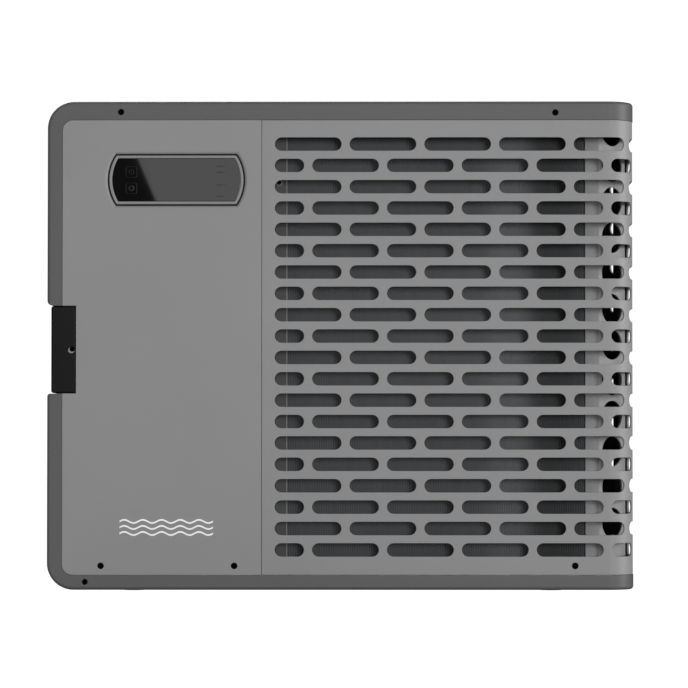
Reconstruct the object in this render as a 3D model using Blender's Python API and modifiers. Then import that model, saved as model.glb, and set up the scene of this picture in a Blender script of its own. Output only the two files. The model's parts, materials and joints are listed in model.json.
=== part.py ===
"""Compact pool heat pump: a wrapped casing, a slotted air grille, a fan and a sealed refrigerant circuit.

Units are metres and +Z is up. The front faces -Y, +X is to the right of someone facing the unit,
and the origin is on the floor under the middle of the whole unit, water fittings included.
Each piece that comes apart on a bench is one named object in the collection "heat_pump".
"""

import math

import bmesh
import bpy
from mathutils import Matrix, Vector
from mathutils.geometry import delaunay_2d_cdt

# ------------------------------------------------------------------ driving dimensions
WIDTH = 0.440           # casing, left to right
HEIGHT = 0.366          # casing, without the feet
DEPTH = 0.240           # casing, front to back
FOOT_HEIGHT = 0.003     # rubber pads under the casing
FOOT_RADIUS = 0.011
FOOT_X = 0.160
REACH = 0.042           # water fittings behind the casing
CLEAR = 0.0003          # running gap between pieces that touch
WELD = 0.000001

LEFT, RIGHT = -WIDTH / 2, WIDTH / 2
BOTTOM, TOP = FOOT_HEIGHT, FOOT_HEIGHT + HEIGHT
FRONT = -(DEPTH + REACH) / 2
REAR = FRONT + DEPTH

# casing shell
WALL = 0.002
RIM_TOP = 0.0139        # height of the shell's rim above the panels
RIM_SIDE = 0.0112
RIM_BOTTOM = 0.0111
SHELL_ROUND = 0.020     # left corners, seen from the front
RIM_ROUND = 0.008       # the same corners of the panel opening
PLAN_ROUND = 0.020      # right corners, seen from above
EDGE_ROUND = 0.0025

# sheet-metal panels and the grille
SHEET = 0.0015
PANEL_INSET = 0.0004    # panels lie this far behind the rim's face
PANEL_GAP = 0.0004      # slit between a panel and the rim
SEAM_X = -0.0593        # upright seam between panel and grille
SEAM = 0.001
SIDE_SEAM_Y = FRONT + 0.1205
PANEL_LOW = BOTTOM + RIM_BOTTOM + PANEL_GAP
PANEL_HIGH = TOP - RIM_TOP - PANEL_GAP
PANEL_LEFT = LEFT + RIM_SIDE + PANEL_GAP
RETURN_DEPTH = 0.010    # folded edge along each seam

# slot pattern: lengths measured along the sheet
SLOT_LONG, SLOT_MIDDLE, SLOT_SHORT = 0.050, 0.039, 0.022
SLOT_HEIGHT = 0.010
SLOT_BAR = 0.006        # metal left between two slots of a row
SLOT_START = -0.0495
ROW_PITCH = 0.016
ROW_LOW = 0.0329
ROWS = 20
ROW_ODD = (SLOT_LONG,) * 4 + (SLOT_MIDDLE, SLOT_LONG)
ROW_EVEN = (SLOT_SHORT,) + (SLOT_LONG,) * 4 + (SLOT_SHORT, SLOT_MIDDLE)
REAR_SLOT_START, REAR_SLOT_LENGTH = 0.2217, 0.0115   # rear corner slots, in every other row

# condensate drain, through the pan and the shell
DRAIN_X, DRAIN_Y, DRAIN_RADIUS = 0.020, 0.020, 0.008

# side grip
GRIP_LOW, GRIP_HIGH = 0.1502, 0.2154
GRIP_LEFT, GRIP_RIGHT = LEFT + 0.003, -0.1986
GRIP_WALL = 0.0024
GRIP_LENGTH = 0.110

# display
DISPLAY_X, DISPLAY_Z = -0.1233, 0.3097
DISPLAY_WIDTH, DISPLAY_HEIGHT = 0.1030, 0.0390
DISPLAY_BULGE = 0.0060  # how far the curved ends stand out at mid height

# fan group
FAN_X, FAN_Z = 0.076, 0.186
IMPELLER_RADIUS = 0.112
THROAT_RADIUS = 0.1175
FAN_FRONT, FAN_BACK = 0.046, 0.080
HUB_RADIUS = 0.030
SHAFT_RADIUS = 0.004
BLADES = 5
GUARD_RINGS, GUARD_INNER, GUARD_PITCH = 13, 0.0180, 0.0087

# coil and compartments
COIL_LEFT, COIL_RIGHT = -0.0490, 0.1830
COIL_FRONT, COIL_BACK = FRONT + 0.0220, FRONT + 0.0660
PARTITION_X = -0.0715
FLOOR = BOTTOM + WALL + CLEAR + SHEET + CLEAR   # top of the base pan, plus the gap
CEILING = TOP - WALL - CLEAR

# corner post holes
POST_HOLE_RADIUS = 0.0114
POST_HOLE_PITCH = 0.027
POST_HOLES = 12
POST_HOLE_LOW = 0.0524

# refrigerant circuit
COMPRESSOR = Vector((-0.124, -0.072, 0.0))
COMPRESSOR_RADIUS = 0.048
MOUNT_LOW, MOUNT_HIGH = 0.0150, 0.0185     # the compressor's feet
ACCUMULATOR = Vector((-0.1785, -0.112, 0.0))
ACCUMULATOR_RADIUS = 0.016
VALVE = Vector((-0.125, -0.055, 0.234))
VALVE_RADIUS = 0.011
VALVE_PORT_LOW = 0.015  # reach of the port that stands on the compressor's discharge
PORT_STEP = 0.020
DRIER = Vector((-0.086, -0.016, 0.0))
HEADER = Vector((-0.0605, -0.097, 0.0))
PIPE_RADIUS = 0.0045
GAS_PASS = (-0.018, 0.236)      # y and z of the gas pipe's hole in the partition
LIQUID_PASS = (-0.016, 0.123)   # the same for the liquid pipe

# water side
EXCHANGER = Vector((-0.128, 0.040, 0.0))
EXCHANGER_RADIUS = 0.050
EXCHANGER_TOP = 0.165
GAS_PORT_X, GAS_PORT_Y, GAS_PORT_RISE = -0.1655, 0.022, 0.006
WATER_X = -0.128
INLET_Z, OUTLET_Z = 0.050, 0.205
WATER_OUTER, WATER_BORE = 0.020, 0.016
UNION_FRONT = REAR + 0.0010
UNION_BACK = REAR + 0.0235
PADDLE_Y = 0.082
PADDLE_PIVOT_Z = OUTLET_Z + 0.018
SWITCH_BOSS_RISE = 0.023

# mains inlet
GLAND_X, GLAND_Z = -0.180, 0.300
GLAND_RADIUS, GLAND_BORE = 0.0080, 0.0042

# screws
SCREW_HEAD, SCREW_SHANK = 0.0020, 0.0012
SCREW_LENGTH = 0.010

FINISHES = {
    "shell_grey": ((0.118, 0.118, 0.120), 0.50, 0.0),
    "panel_grey": ((0.235, 0.236, 0.238), 0.48, 0.0),
    "black_plastic": ((0.014, 0.014, 0.014), 0.45, 0.0),
    "glass_black": ((0.005, 0.005, 0.006), 0.08, 0.0),
    "coated_fins": ((0.045, 0.048, 0.055), 0.45, 0.3),
    "galvanised": ((0.45, 0.46, 0.47), 0.40, 0.9),
    "steel": ((0.50, 0.50, 0.50), 0.30, 1.0),
    "copper": ((0.72, 0.32, 0.18), 0.30, 1.0),
    "brass": ((0.70, 0.50, 0.20), 0.30, 1.0),
    "compressor_black": ((0.02, 0.02, 0.02), 0.35, 0.2),
    "white_plastic": ((0.70, 0.70, 0.68), 0.40, 0.0),
    "grey_plastic": ((0.30, 0.30, 0.31), 0.45, 0.0),
    "circuit_green": ((0.02, 0.12, 0.05), 0.45, 0.0),
    "rubber": ((0.012, 0.012, 0.012), 0.85, 0.0),
}


# ------------------------------------------------------------------ scene helpers
def start_scene():
    for old in list(bpy.data.objects):
        bpy.data.objects.remove(old, do_unlink=True)
    made = []
    for name in ("heat_pump", "cutters"):
        collection = bpy.data.collections.new(name)
        bpy.context.scene.collection.children.link(collection)
        made.append(collection)
    return made


PARTS, CUTTERS = start_scene()


def principled(name, finish):
    rgb, roughness, metallic = FINISHES[finish]
    material = bpy.data.materials.new(name)
    material.use_nodes = True
    shader = material.node_tree.nodes["Principled BSDF"]
    shader.inputs["Base Color"].default_value = (*rgb, 1.0)
    shader.inputs["Roughness"].default_value = roughness
    shader.inputs["Metallic"].default_value = metallic
    material.diffuse_color = (*rgb, 1.0)
    return material


def place(name, data, finish=None):
    """Link a new object. Without a finish it is a cutter or a tool that the build leaves out."""
    item = bpy.data.objects.new(name, data)
    if finish is None:
        CUTTERS.objects.link(item)
        item.hide_render = True
        item.display_type = "WIRE"
    else:
        PARTS.objects.link(item)
        data.materials.append(principled(name, finish))
    return item


def place_bmesh(name, bm, finish=None, location=(0, 0, 0)):
    mesh = bpy.data.meshes.new(name)
    bmesh.ops.recalc_face_normals(bm, faces=bm.faces)
    if bm.calc_volume(signed=True) < 0:
        bmesh.ops.reverse_faces(bm, faces=bm.faces)
    bm.to_mesh(mesh)
    bm.free()
    mesh.shade_smooth()
    mesh.set_sharp_from_angle(angle=math.radians(35))
    item = place(name, mesh, finish)
    item.location = location
    return item


def combine(target, tool, operation):
    modifier = target.modifiers.new(f"{operation.lower()}_{tool.name}", "BOOLEAN")
    modifier.operation = operation
    modifier.object = tool
    return target


def cut(target, *tools):
    for tool in tools:
        combine(target, tool, "DIFFERENCE")
    return target


def join(target, *tools):
    for tool in tools:
        combine(target, tool, "UNION")
    return target


def joint_empty(name, location, *riders):
    """Hang the pieces of one moving body on an empty that stands on their axis."""
    axis = bpy.data.objects.new(name, None)
    axis.location = location
    PARTS.objects.link(axis)
    bpy.context.view_layer.update()
    for rider in riders:
        rider.parent = axis
        rider.matrix_parent_inverse = axis.matrix_world.inverted()
    return axis


# ------------------------------------------------------------------ shape helpers
def box_bmesh(size):
    bm = bmesh.new()
    bmesh.ops.create_cube(bm, size=1.0)
    bmesh.ops.scale(bm, vec=size, verts=bm.verts)
    return bm


def round_edges(bm, along, radius, segments, keep=lambda middle: True):
    """Round the box edges that run along one axis (0, 1, 2) and whose middle passes the keep test."""
    edges = []
    for edge in bm.edges:
        run = edge.verts[1].co - edge.verts[0].co
        middle = (edge.verts[1].co + edge.verts[0].co) / 2
        if abs(run[along]) > 0.999 * run.length and keep(middle):
            edges.append(edge)
    bmesh.ops.bevel(bm, geom=edges, offset=radius, segments=segments, profile=0.5, affect="EDGES")


def soften(bm, radius, segments=1, angle=40):
    """Round every edge that is sharper than the angle."""
    sharp = [edge for edge in bm.edges if edge.calc_face_angle(0.0) > math.radians(angle)]
    bmesh.ops.bevel(bm, geom=sharp, offset=radius, segments=segments, profile=0.5, affect="EDGES")


def block(name, low, high, finish=None, edge=0.0):
    low, high = Vector(low), Vector(high)
    bm = box_bmesh(high - low)
    if edge:
        soften(bm, edge)
    return place_bmesh(name, bm, finish, (low + high) / 2)


def rod(name, start, end, radius, finish=None, segments=16):
    """A plain cylinder from start to end, both on its axis."""
    start, end = Vector(start), Vector(end)
    run = end - start
    bm = bmesh.new()
    bmesh.ops.create_cone(
        bm, cap_ends=True, segments=segments, radius1=radius, radius2=radius, depth=run.length
    )
    item = place_bmesh(name, bm, finish, (start + end) / 2)
    item.rotation_euler = run.to_track_quat("Z", "Y").to_euler()
    return item


def turned(name, profile, centre, axis, finish=None, steps=24):
    """Turn (radius, height) points about the axis. They run down the outer side, top to bottom."""
    closed = profile[0][0] > 0 and profile[-1][0] > 0
    mesh = bpy.data.meshes.new(name)
    verts = [(radius, 0.0, height) for radius, height in profile]
    edges = [(i, i + 1) for i in range(len(verts) - 1)]
    if closed:
        edges.append((len(verts) - 1, 0))
    mesh.from_pydata(verts, edges, [])
    item = place(name, mesh, finish)
    item.location = centre
    item.rotation_euler = Vector(axis).to_track_quat("Z", "Y").to_euler()
    screw = item.modifiers.new("turn", "SCREW")
    screw.steps = screw.render_steps = steps
    screw.use_merge_vertices = True
    screw.merge_threshold = 0.00001
    return item


def arc(centre, radius, start, end, steps):
    """Points on a circle arc, angles in degrees, both ends included."""
    points = []
    for i in range(steps + 1):
        angle = math.radians(start + (end - start) * i / steps)
        points.append((centre[0] + radius * math.cos(angle), centre[1] + radius * math.sin(angle)))
    return points


def slot_outline(left, length, height_at):
    """A slot with round ends."""
    steps = 3
    radius = SLOT_HEIGHT / 2
    right_end = arc((left + length - radius, height_at), radius, -90, 90, steps)
    left_end = arc((left + radius, height_at), radius, 90, 270, steps)
    return right_end + left_end


def evaluated_bmesh(item):
    """The welded mesh of a curve object, in the object's own space. The object is removed."""
    if item.name not in bpy.context.scene.collection.all_objects:
        CUTTERS.objects.link(item)
    depsgraph = bpy.context.evaluated_depsgraph_get()
    mesh = bpy.data.meshes.new_from_object(item.evaluated_get(depsgraph))
    bm = bmesh.new()
    bm.from_mesh(mesh)
    bmesh.ops.remove_doubles(bm, verts=bm.verts, dist=WELD)
    bpy.data.meshes.remove(mesh)
    bpy.data.objects.remove(item, do_unlink=True)
    return bm


def flat_sheet(outline, holes, thickness):
    """A flat plate in the XY plane with holes through it, as a welded bmesh."""
    curve = bpy.data.curves.new("outline", "CURVE")
    curve.dimensions = "2D"
    curve.fill_mode = "BOTH"
    curve.extrude = thickness / 2
    for ring in [outline] + holes:
        spline = curve.splines.new("POLY")
        spline.points.add(len(ring) - 1)
        for point, (x, y) in zip(spline.points, ring):
            point.co = (x, y, 0.0, 1.0)
        spline.use_cyclic_u = True
    return evaluated_bmesh(bpy.data.objects.new("outline", curve))


def is_inside(point, ring):
    """Whether a point lies inside a closed ring of points: it crosses the ring an odd number of times."""
    crossings = 0
    for (x1, y1), (x2, y2) in zip(ring, ring[1:] + ring[:1]):
        if (y1 > point.y) != (y2 > point.y) and point.x < x1 + (point.y - y1) / (y2 - y1) * (x2 - x1):
            crossings += 1
    return crossings % 2 == 1


def creased_sheet(outline, holes, creases, thickness):
    """A flat plate whose triangles also meet along upright creases, so that it can be folded there."""
    points, edges = [], []
    for ring in [outline] + holes:
        first = len(points)
        points += [Vector(point) for point in ring]
        edges += [(first + i, first + (i + 1) % len(ring)) for i in range(len(ring))]
    heights = [y for _, y in outline]
    for x in creases:
        edges.append((len(points), len(points) + 1))
        points += [Vector((x, min(heights))), Vector((x, max(heights)))]
    verts, _, triangles = delaunay_2d_cdt(points, edges, [], 1, WELD)[:3]
    bm = bmesh.new()
    corners = [bm.verts.new((x, y, -thickness / 2)) for x, y in verts]
    for triangle in triangles:
        middle = sum((verts[i] for i in triangle), Vector((0, 0))) / len(triangle)
        if not any(is_inside(middle, hole) for hole in holes):
            bm.faces.new([corners[i] for i in triangle])
    loose = [vert for vert in bm.verts if not vert.link_faces]
    bmesh.ops.delete(bm, geom=loose, context="VERTS")
    extruded = bmesh.ops.extrude_face_region(bm, geom=list(bm.faces))["geom"]
    upper = [item for item in extruded if isinstance(item, bmesh.types.BMVert)]
    bmesh.ops.translate(bm, vec=(0, 0, thickness), verts=upper)
    return bm


def folded_sheet(low, high, holes, path, thickness, start=0.0):
    """A sheet from height low to high that is folded along a plan path, as a bmesh.

    The path is a list of (x, y) points of the outer face, and the thickness lies on its left.
    Holes are rings of (length along the path from its start value, height) points.
    """
    points = [Vector(point) for point in path]
    runs = [after - before for before, after in zip(points, points[1:])]
    stations = [start]
    for run in runs:
        stations.append(stations[-1] + run.length)
    sides = [Vector((-run.y, run.x)).normalized() for run in runs]
    offsets = [sides[0]]
    for before, after in zip(sides, sides[1:]):
        middle = (before + after).normalized()
        offsets.append(middle / middle.dot(before))
    offsets.append(sides[-1])
    end = stations[-1]
    outline = [(start, low), (end, low), (end, high), (start, high)]
    bm = creased_sheet(outline, holes, stations[1:-1], thickness)
    for vert in bm.verts:
        index = 0
        while index < len(runs) - 1 and vert.co.x > stations[index + 1]:
            index += 1
        part = (vert.co.x - stations[index]) / runs[index].length
        inward = thickness / 2 - vert.co.z
        plan = points[index].lerp(points[index + 1], part)
        plan += inward * offsets[index].lerp(offsets[index + 1], part)
        vert.co = (plan.x, plan.y, vert.co.y)
    return bm


def tube(name, points, radius, finish=None, resolution=1):
    """A round pipe along a list of points."""
    curve = bpy.data.curves.new(name, "CURVE")
    curve.dimensions = "3D"
    curve.bevel_depth = radius
    curve.bevel_resolution = resolution
    curve.use_fill_caps = True
    spline = curve.splines.new("POLY")
    spline.points.add(len(points) - 1)
    for point, place_at in zip(spline.points, points):
        point.co = (*place_at, 1.0)
    return place(name, curve, finish)


def bent(corners, radius, steps=3):
    """The route of a bent pipe: straight runs between corners, each corner an arc."""
    corners = [Vector(corner) for corner in corners]
    route = [corners[0]]
    for before, corner, after in zip(corners, corners[1:], corners[2:]):
        towards, away = (before - corner).normalized(), (after - corner).normalized()
        half = towards.angle(away) / 2
        tangent = radius / math.tan(half)
        middle = corner + (towards + away).normalized() * (radius / math.sin(half))
        first = corner + towards * tangent - middle
        turn = first.cross(corner + away * tangent - middle).normalized()
        for i in range(steps + 1):
            route.append(middle + Matrix.Rotation((math.pi - 2 * half) * i / steps, 3, turn) @ first)
    return route + [corners[-1]]


# ------------------------------------------------------------------ screws
def countersunk(name, x, face_y, z, *targets):
    """A countersunk screw in a front face, and its hole in the targets."""
    centre = (x, face_y, z)
    flare = SCREW_HEAD - SCREW_SHANK
    sink = 0.0004
    head = [
        (0.0, -sink),
        (SCREW_HEAD, -sink),
        (SCREW_SHANK, -sink - flare),
        (SCREW_SHANK, -SCREW_LENGTH),
        (0.0, -SCREW_LENGTH),
    ]
    turned(name, head, centre, (0, -1, 0), "black_plastic", 8)
    hole = [
        (0.0, 0.001),
        (SCREW_HEAD + CLEAR, 0.001),
        (SCREW_HEAD + CLEAR, -sink),
        (SCREW_SHANK + CLEAR, -sink - flare),
        (SCREW_SHANK + CLEAR, -SCREW_LENGTH - 0.001),
        (0.0, -SCREW_LENGTH - 0.001),
    ]
    cutter = turned(f"{name}_hole", hole, centre, (0, -1, 0), None, 8)
    for target in targets:
        cut(target, cutter)


# ------------------------------------------------------------------ casing
def shell_block(name, inset, left_round, right_round, finish=None):
    """The casing's outer or inner form: round left corners from the front, round right ones in plan."""
    size = Vector((WIDTH - 2 * inset, DEPTH - 2 * inset, HEIGHT - 2 * inset))
    bm = box_bmesh(size)
    round_edges(bm, 1, left_round, 6, lambda middle: middle.x < 0)
    round_edges(bm, 2, right_round, 6, lambda middle: middle.x > 0)
    if finish:
        soften(bm, EDGE_ROUND)
    return place_bmesh(name, bm, finish, (0, (FRONT + REAR) / 2, (BOTTOM + TOP) / 2))


def outer_shell():
    """Top, left side and bottom in one wrap, with a rim that frames the panels at front and rear."""
    shell = shell_block("outer_shell", 0.0, SHELL_ROUND, PLAN_ROUND, "shell_grey")
    cavity = shell_block("shell_cavity", WALL, SHELL_ROUND - WALL, PLAN_ROUND - WALL)
    low = Vector((LEFT + RIM_SIDE, FRONT - 0.01, BOTTOM + RIM_BOTTOM))
    high = Vector((RIGHT + 0.01, REAR + 0.01, TOP - RIM_TOP))
    bm = box_bmesh(high - low)
    round_edges(bm, 1, RIM_ROUND, 4, lambda middle: middle.x < 0)
    opening = place_bmesh("shell_opening", bm, None, (low + high) / 2)
    notch = block(
        "shell_notch",
        (LEFT - 0.01, FRONT - 0.01, GRIP_LOW - CLEAR),
        (GRIP_RIGHT + CLEAR, FRONT + GRIP_LENGTH + CLEAR, GRIP_HIGH + CLEAR),
    )
    cut(shell, cavity, opening, notch)
    pan = base_pan()
    drain = rod("drain", (DRAIN_X, DRAIN_Y, -0.01), (DRAIN_X, DRAIN_Y, 0.02), DRAIN_RADIUS)
    cut(shell, drain)
    cut(pan, drain)
    countersunk("top_screw_left", -0.1649, FRONT, 0.3610, shell)
    countersunk("top_screw_right", 0.1607, FRONT, 0.3605, shell)
    countersunk("bottom_screw", -0.1915, FRONT, 0.0090, shell, pan)


def base_pan():
    """Drip tray on the bottom of the shell, with an upturned edge."""
    low_z = BOTTOM + WALL + CLEAR
    inset = WALL + CLEAR
    low = Vector((LEFT + inset + 0.018, FRONT + inset, low_z))
    high = Vector((RIGHT - inset, REAR - inset, low_z + 0.009))
    pan = block_rounded("base_pan", low, high, "galvanised")
    hollow = block_rounded(
        "pan_hollow",
        low + Vector((SHEET, SHEET, SHEET)),
        high + Vector((-SHEET, -SHEET, 0.01)),
    )
    return cut(pan, hollow)


def block_rounded(name, low, high, finish=None):
    bm = box_bmesh(high - low)
    round_edges(bm, 2, PLAN_ROUND - WALL, 3, lambda middle: middle.x > 0)
    return place_bmesh(name, bm, finish, (low + high) / 2)


def feet():
    """Four pads, set in from the casing's edges."""
    for side, x in (("left", -FOOT_X), ("right", FOOT_X)):
        for end, y in (("front", FRONT + 0.070), ("rear", REAR - 0.040)):
            top = (x, y, FOOT_HEIGHT - CLEAR)
            rod(f"foot_{end}_{side}", (x, y, 0), top, FOOT_RADIUS, "rubber", 14)


def left_panel_outline(notched):
    """Outline of the panel left of the seam: round left corners, and room for the grip."""
    right = SEAM_X - SEAM / 2
    radius = RIM_ROUND - PANEL_GAP
    lower = arc((PANEL_LEFT + radius, PANEL_LOW + radius), radius, 180, 270, 4)
    upper = arc((PANEL_LEFT + radius, PANEL_HIGH - radius), radius, 90, 180, 4)
    outline = lower + [(right, PANEL_LOW), (right, PANEL_HIGH)] + upper
    if notched:
        edge = GRIP_RIGHT + CLEAR
        above, below = GRIP_HIGH + CLEAR, GRIP_LOW - CLEAR
        outline += [(PANEL_LEFT, above), (edge, above), (edge, below), (PANEL_LEFT, below)]
    return outline


def display_outline(grow):
    """Flat top and bottom with bulged ends, grown or shrunk all round."""
    half_width = DISPLAY_WIDTH / 2 + grow
    half_height = DISPLAY_HEIGHT / 2 + grow
    radius = ((DISPLAY_HEIGHT / 2) ** 2 + DISPLAY_BULGE ** 2) / (2 * DISPLAY_BULGE) + grow
    reach = math.degrees(math.asin(half_height / radius))
    right = arc((DISPLAY_X + half_width - radius, DISPLAY_Z), radius, -reach, reach, 6)
    left = arc((DISPLAY_X - half_width + radius, DISPLAY_Z), radius, 180 - reach, 180 + reach, 6)
    return right + left


def front_sheet(name, outline, holes, y_face, thickness, finish):
    """A flat piece that stands upright behind the plane y_face."""
    bm = flat_sheet(outline, holes, thickness)
    upright = Matrix.Rotation(math.pi / 2, 4, "X")
    bmesh.ops.transform(bm, matrix=upright, verts=bm.verts)
    return place_bmesh(name, bm, finish, (0, y_face + thickness / 2, 0))


def seam_return(name, x_low, panel, y_front, y_back):
    """The edge folded inwards along a seam."""
    margin = 0.004
    low = (x_low, y_front, PANEL_LOW + margin)
    high = (x_low + SHEET, y_back, PANEL_HIGH - margin)
    join(panel, block(name, low, high))


def front_left_panel():
    y_face = FRONT + PANEL_INSET
    outline, holes = left_panel_outline(True), [display_outline(0.0)]
    panel = front_sheet("front_left_panel", outline, holes, y_face, SHEET, "panel_grey")
    fold_left = SEAM_X - SEAM / 2 - SHEET
    seam_return("panel_fold", fold_left, panel, y_face + SHEET / 2, y_face + RETURN_DEPTH)
    countersunk("panel_screw_left", -0.1796, y_face, 0.0210, panel)
    countersunk("panel_screw_right", -0.0797, y_face, 0.0210, panel)


def wrap_path():
    """Plan path of a right-hand panel: along its face, round the corner and along the right side."""
    radius = PLAN_ROUND - PANEL_INSET
    centre = (RIGHT - PLAN_ROUND, FRONT + PLAN_ROUND)
    path = [(SEAM_X + SEAM / 2, FRONT + PANEL_INSET)]
    path += arc(centre, radius, -90, 0, 5)
    path.append((RIGHT - PANEL_INSET, SIDE_SEAM_Y - SEAM / 2))
    return path


def front_slots():
    """Outlines of the slots across the front, round the corner and into the side."""
    outlines = []
    for row in range(ROWS):
        left = SLOT_START
        for length in ROW_ODD if row % 2 else ROW_EVEN:
            outlines.append(slot_outline(left, length, ROW_LOW + row * ROW_PITCH))
            left += length + SLOT_BAR
    return outlines


def front_grille():
    """Slotted sheet that covers the coil and wraps round the right front corner."""
    path = wrap_path()
    start = path[0][0]
    bm = folded_sheet(PANEL_LOW, PANEL_HIGH, front_slots(), path, SHEET, start)
    grille = place_bmesh("front_grille", bm, "panel_grey")
    y_face = FRONT + PANEL_INSET
    seam_return("grille_fold", start, grille, y_face + SHEET / 2, y_face + RETURN_DEPTH)
    countersunk("grille_screw", 0.1752, y_face, 0.0210, grille)


def rear_right_panel():
    """The same wrap at the rear: short slots round the corner only, and the round fan outlet."""
    path = wrap_path()
    path[-1] = (path[-1][0], FRONT + REAR - SIDE_SEAM_Y - SEAM / 2)
    outlet = arc((FAN_X, FAN_Z), THROAT_RADIUS, 0, 348, 29)
    corner = [
        slot_outline(REAR_SLOT_START, REAR_SLOT_LENGTH, ROW_LOW + row * ROW_PITCH) for row in range(0, ROWS, 2)
    ]
    holes = corner + [outlet]
    bm = folded_sheet(PANEL_LOW, PANEL_HIGH, holes, path, SHEET, path[0][0])
    for vert in bm.verts:
        vert.co.y = FRONT + REAR - vert.co.y
    place_bmesh("rear_right_panel", bm, "panel_grey")


def rear_left_panel():
    """Service side at the rear: water pipes, cable gland."""
    y_face = REAR - PANEL_INSET - SHEET
    holes = [
        arc((WATER_X, INLET_Z), WATER_OUTER + 0.002, 0, 345, 23),
        arc((WATER_X, OUTLET_Z), WATER_OUTER + 0.002, 0, 345, 23),
        arc((GLAND_X, GLAND_Z), GLAND_RADIUS + CLEAR, 0, 330, 11),
    ]
    front_sheet("rear_left_panel", left_panel_outline(False), holes, y_face, SHEET, "panel_grey")


def side_grip():
    """Moulded cup for the hand, let into the front of the left side."""
    low = Vector((GRIP_LEFT, FRONT + 0.0005, GRIP_LOW))
    high = Vector((GRIP_RIGHT, FRONT + GRIP_LENGTH, GRIP_HIGH))
    grip = block("side_grip", low, high, "black_plastic", 0.0008)
    cup = block(
        "grip_cup",
        (low.x - 0.01, low.y + 0.016, low.z + 0.009),
        (high.x - GRIP_WALL, high.y - 0.012, high.z - 0.0125),
        None,
        0.003,
    )
    lip = block(
        "grip_lip",
        (low.x + 0.005, low.y + 0.018, high.z - 0.020),
        (high.x - GRIP_WALL, high.y - 0.014, high.z - 0.0050),
    )
    cut(grip, cup, lip)
    countersunk("grip_screw", -0.2017, FRONT + 0.0005, 0.1837, grip)


def display():
    """Bezel in the panel's cut-out, black glass in the bezel, and the board behind."""
    front = FRONT + PANEL_INSET + 0.0002
    groove = 0.0013
    rim = 0.0021
    front_sheet(
        "display_bezel",
        display_outline(-groove),
        [display_outline(-groove - rim)],
        front,
        0.0060,
        "panel_grey",
    )
    lens = display_outline(-groove - rim - CLEAR)
    front_sheet("display_glass", lens, [], front + 0.0006, 0.0020, "glass_black")
    block(
        "display_board",
        (DISPLAY_X - 0.050, front + 0.0065, DISPLAY_Z - 0.020),
        (DISPLAY_X + 0.050, front + 0.0081, DISPLAY_Z + 0.020),
        "circuit_green",
    )


def partition_wall():
    """Sheet between the machine side and the air side, with holes for two pipes."""
    wall = block(
        "partition_wall",
        (PARTITION_X, FRONT + 0.0042, FLOOR),
        (PARTITION_X + SHEET, REAR - 0.0042, CEILING),
        "galvanised",
    )
    for name, (y, z), radius in (
        ("gas_pipe_hole", GAS_PASS, PIPE_RADIUS + 0.002),
        ("liquid_pipe_hole", LIQUID_PASS, 0.005),
    ):
        middle = PARTITION_X + SHEET / 2
        cut(wall, rod(name, (middle - 0.01, y, z), (middle + 0.01, y, z), radius, None, 12))


def corner_post():
    """Folded post behind the grille's corner, with round holes up its slanted face."""
    flange = 0.0105
    path = [(0.1840, FRONT + 0.020), (0.1840 + flange, FRONT + 0.020), (0.2155, FRONT + 0.041)]
    path.append((0.2155, FRONT + 0.062))
    middle = flange + (Vector(path[2]) - Vector(path[1])).length / 2
    holes = []
    for i in range(POST_HOLES):
        centre = (middle, POST_HOLE_LOW + i * POST_HOLE_PITCH)
        holes.append(arc(centre, POST_HOLE_RADIUS, 0, 324, 9))
    low, high = BOTTOM + RIM_BOTTOM + 0.0035, TOP - RIM_TOP - 0.001
    place_bmesh("corner_post", folded_sheet(low, high, holes, path, SHEET), "panel_grey")


# ------------------------------------------------------------------ air side
def evaporator():
    """Finned coil, its folded end plate and the upright gas header."""
    block(
        "evaporator_core",
        (COIL_LEFT, COIL_FRONT, 0.016),
        (COIL_RIGHT, COIL_BACK, 0.360),
        "coated_fins",
    )
    path = [
        (-0.0410, COIL_BACK + 0.002),
        (-0.0510, COIL_BACK + 0.002),
        (-0.0510, COIL_FRONT - 0.002),
        (-0.0410, COIL_FRONT - 0.002),
    ]
    place_bmesh("evaporator_end_plate", folded_sheet(0.016, 0.360, [], path, SHEET), "panel_grey")
    header_low, header_high = HEADER + Vector((0, 0, 0.040)), HEADER + Vector((0, 0, 0.330))
    header = rod("gas_header", header_low, header_high, 0.006, "copper")
    for i in range(3):
        z = 0.070 + i * 0.120
        stub = rod(
            f"header_stub_{i}",
            HEADER + Vector((0.002, 0, z)),
            (-0.0510 - CLEAR, HEADER.y, z),
            0.0035,
            None,
            8,
        )
        join(header, stub)


def fan_shroud():
    """Ring round the impeller, with a flare that bears on the rear panel."""
    back = REAR - PANEL_INSET - SHEET - CLEAR
    profile = [
        (THROAT_RADIUS + 0.006, back),
        (THROAT_RADIUS + 0.006, back - 0.002),
        (THROAT_RADIUS + 0.002, back - 0.003),
        (THROAT_RADIUS + 0.002, 0.042),
        (THROAT_RADIUS + 0.007, 0.034),
        (THROAT_RADIUS + 0.005, 0.033),
        (THROAT_RADIUS, 0.041),
        (THROAT_RADIUS, back),
    ]
    turned("fan_shroud", profile, (FAN_X, 0, FAN_Z), (0, 1, 0), "black_plastic", 30)


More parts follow.
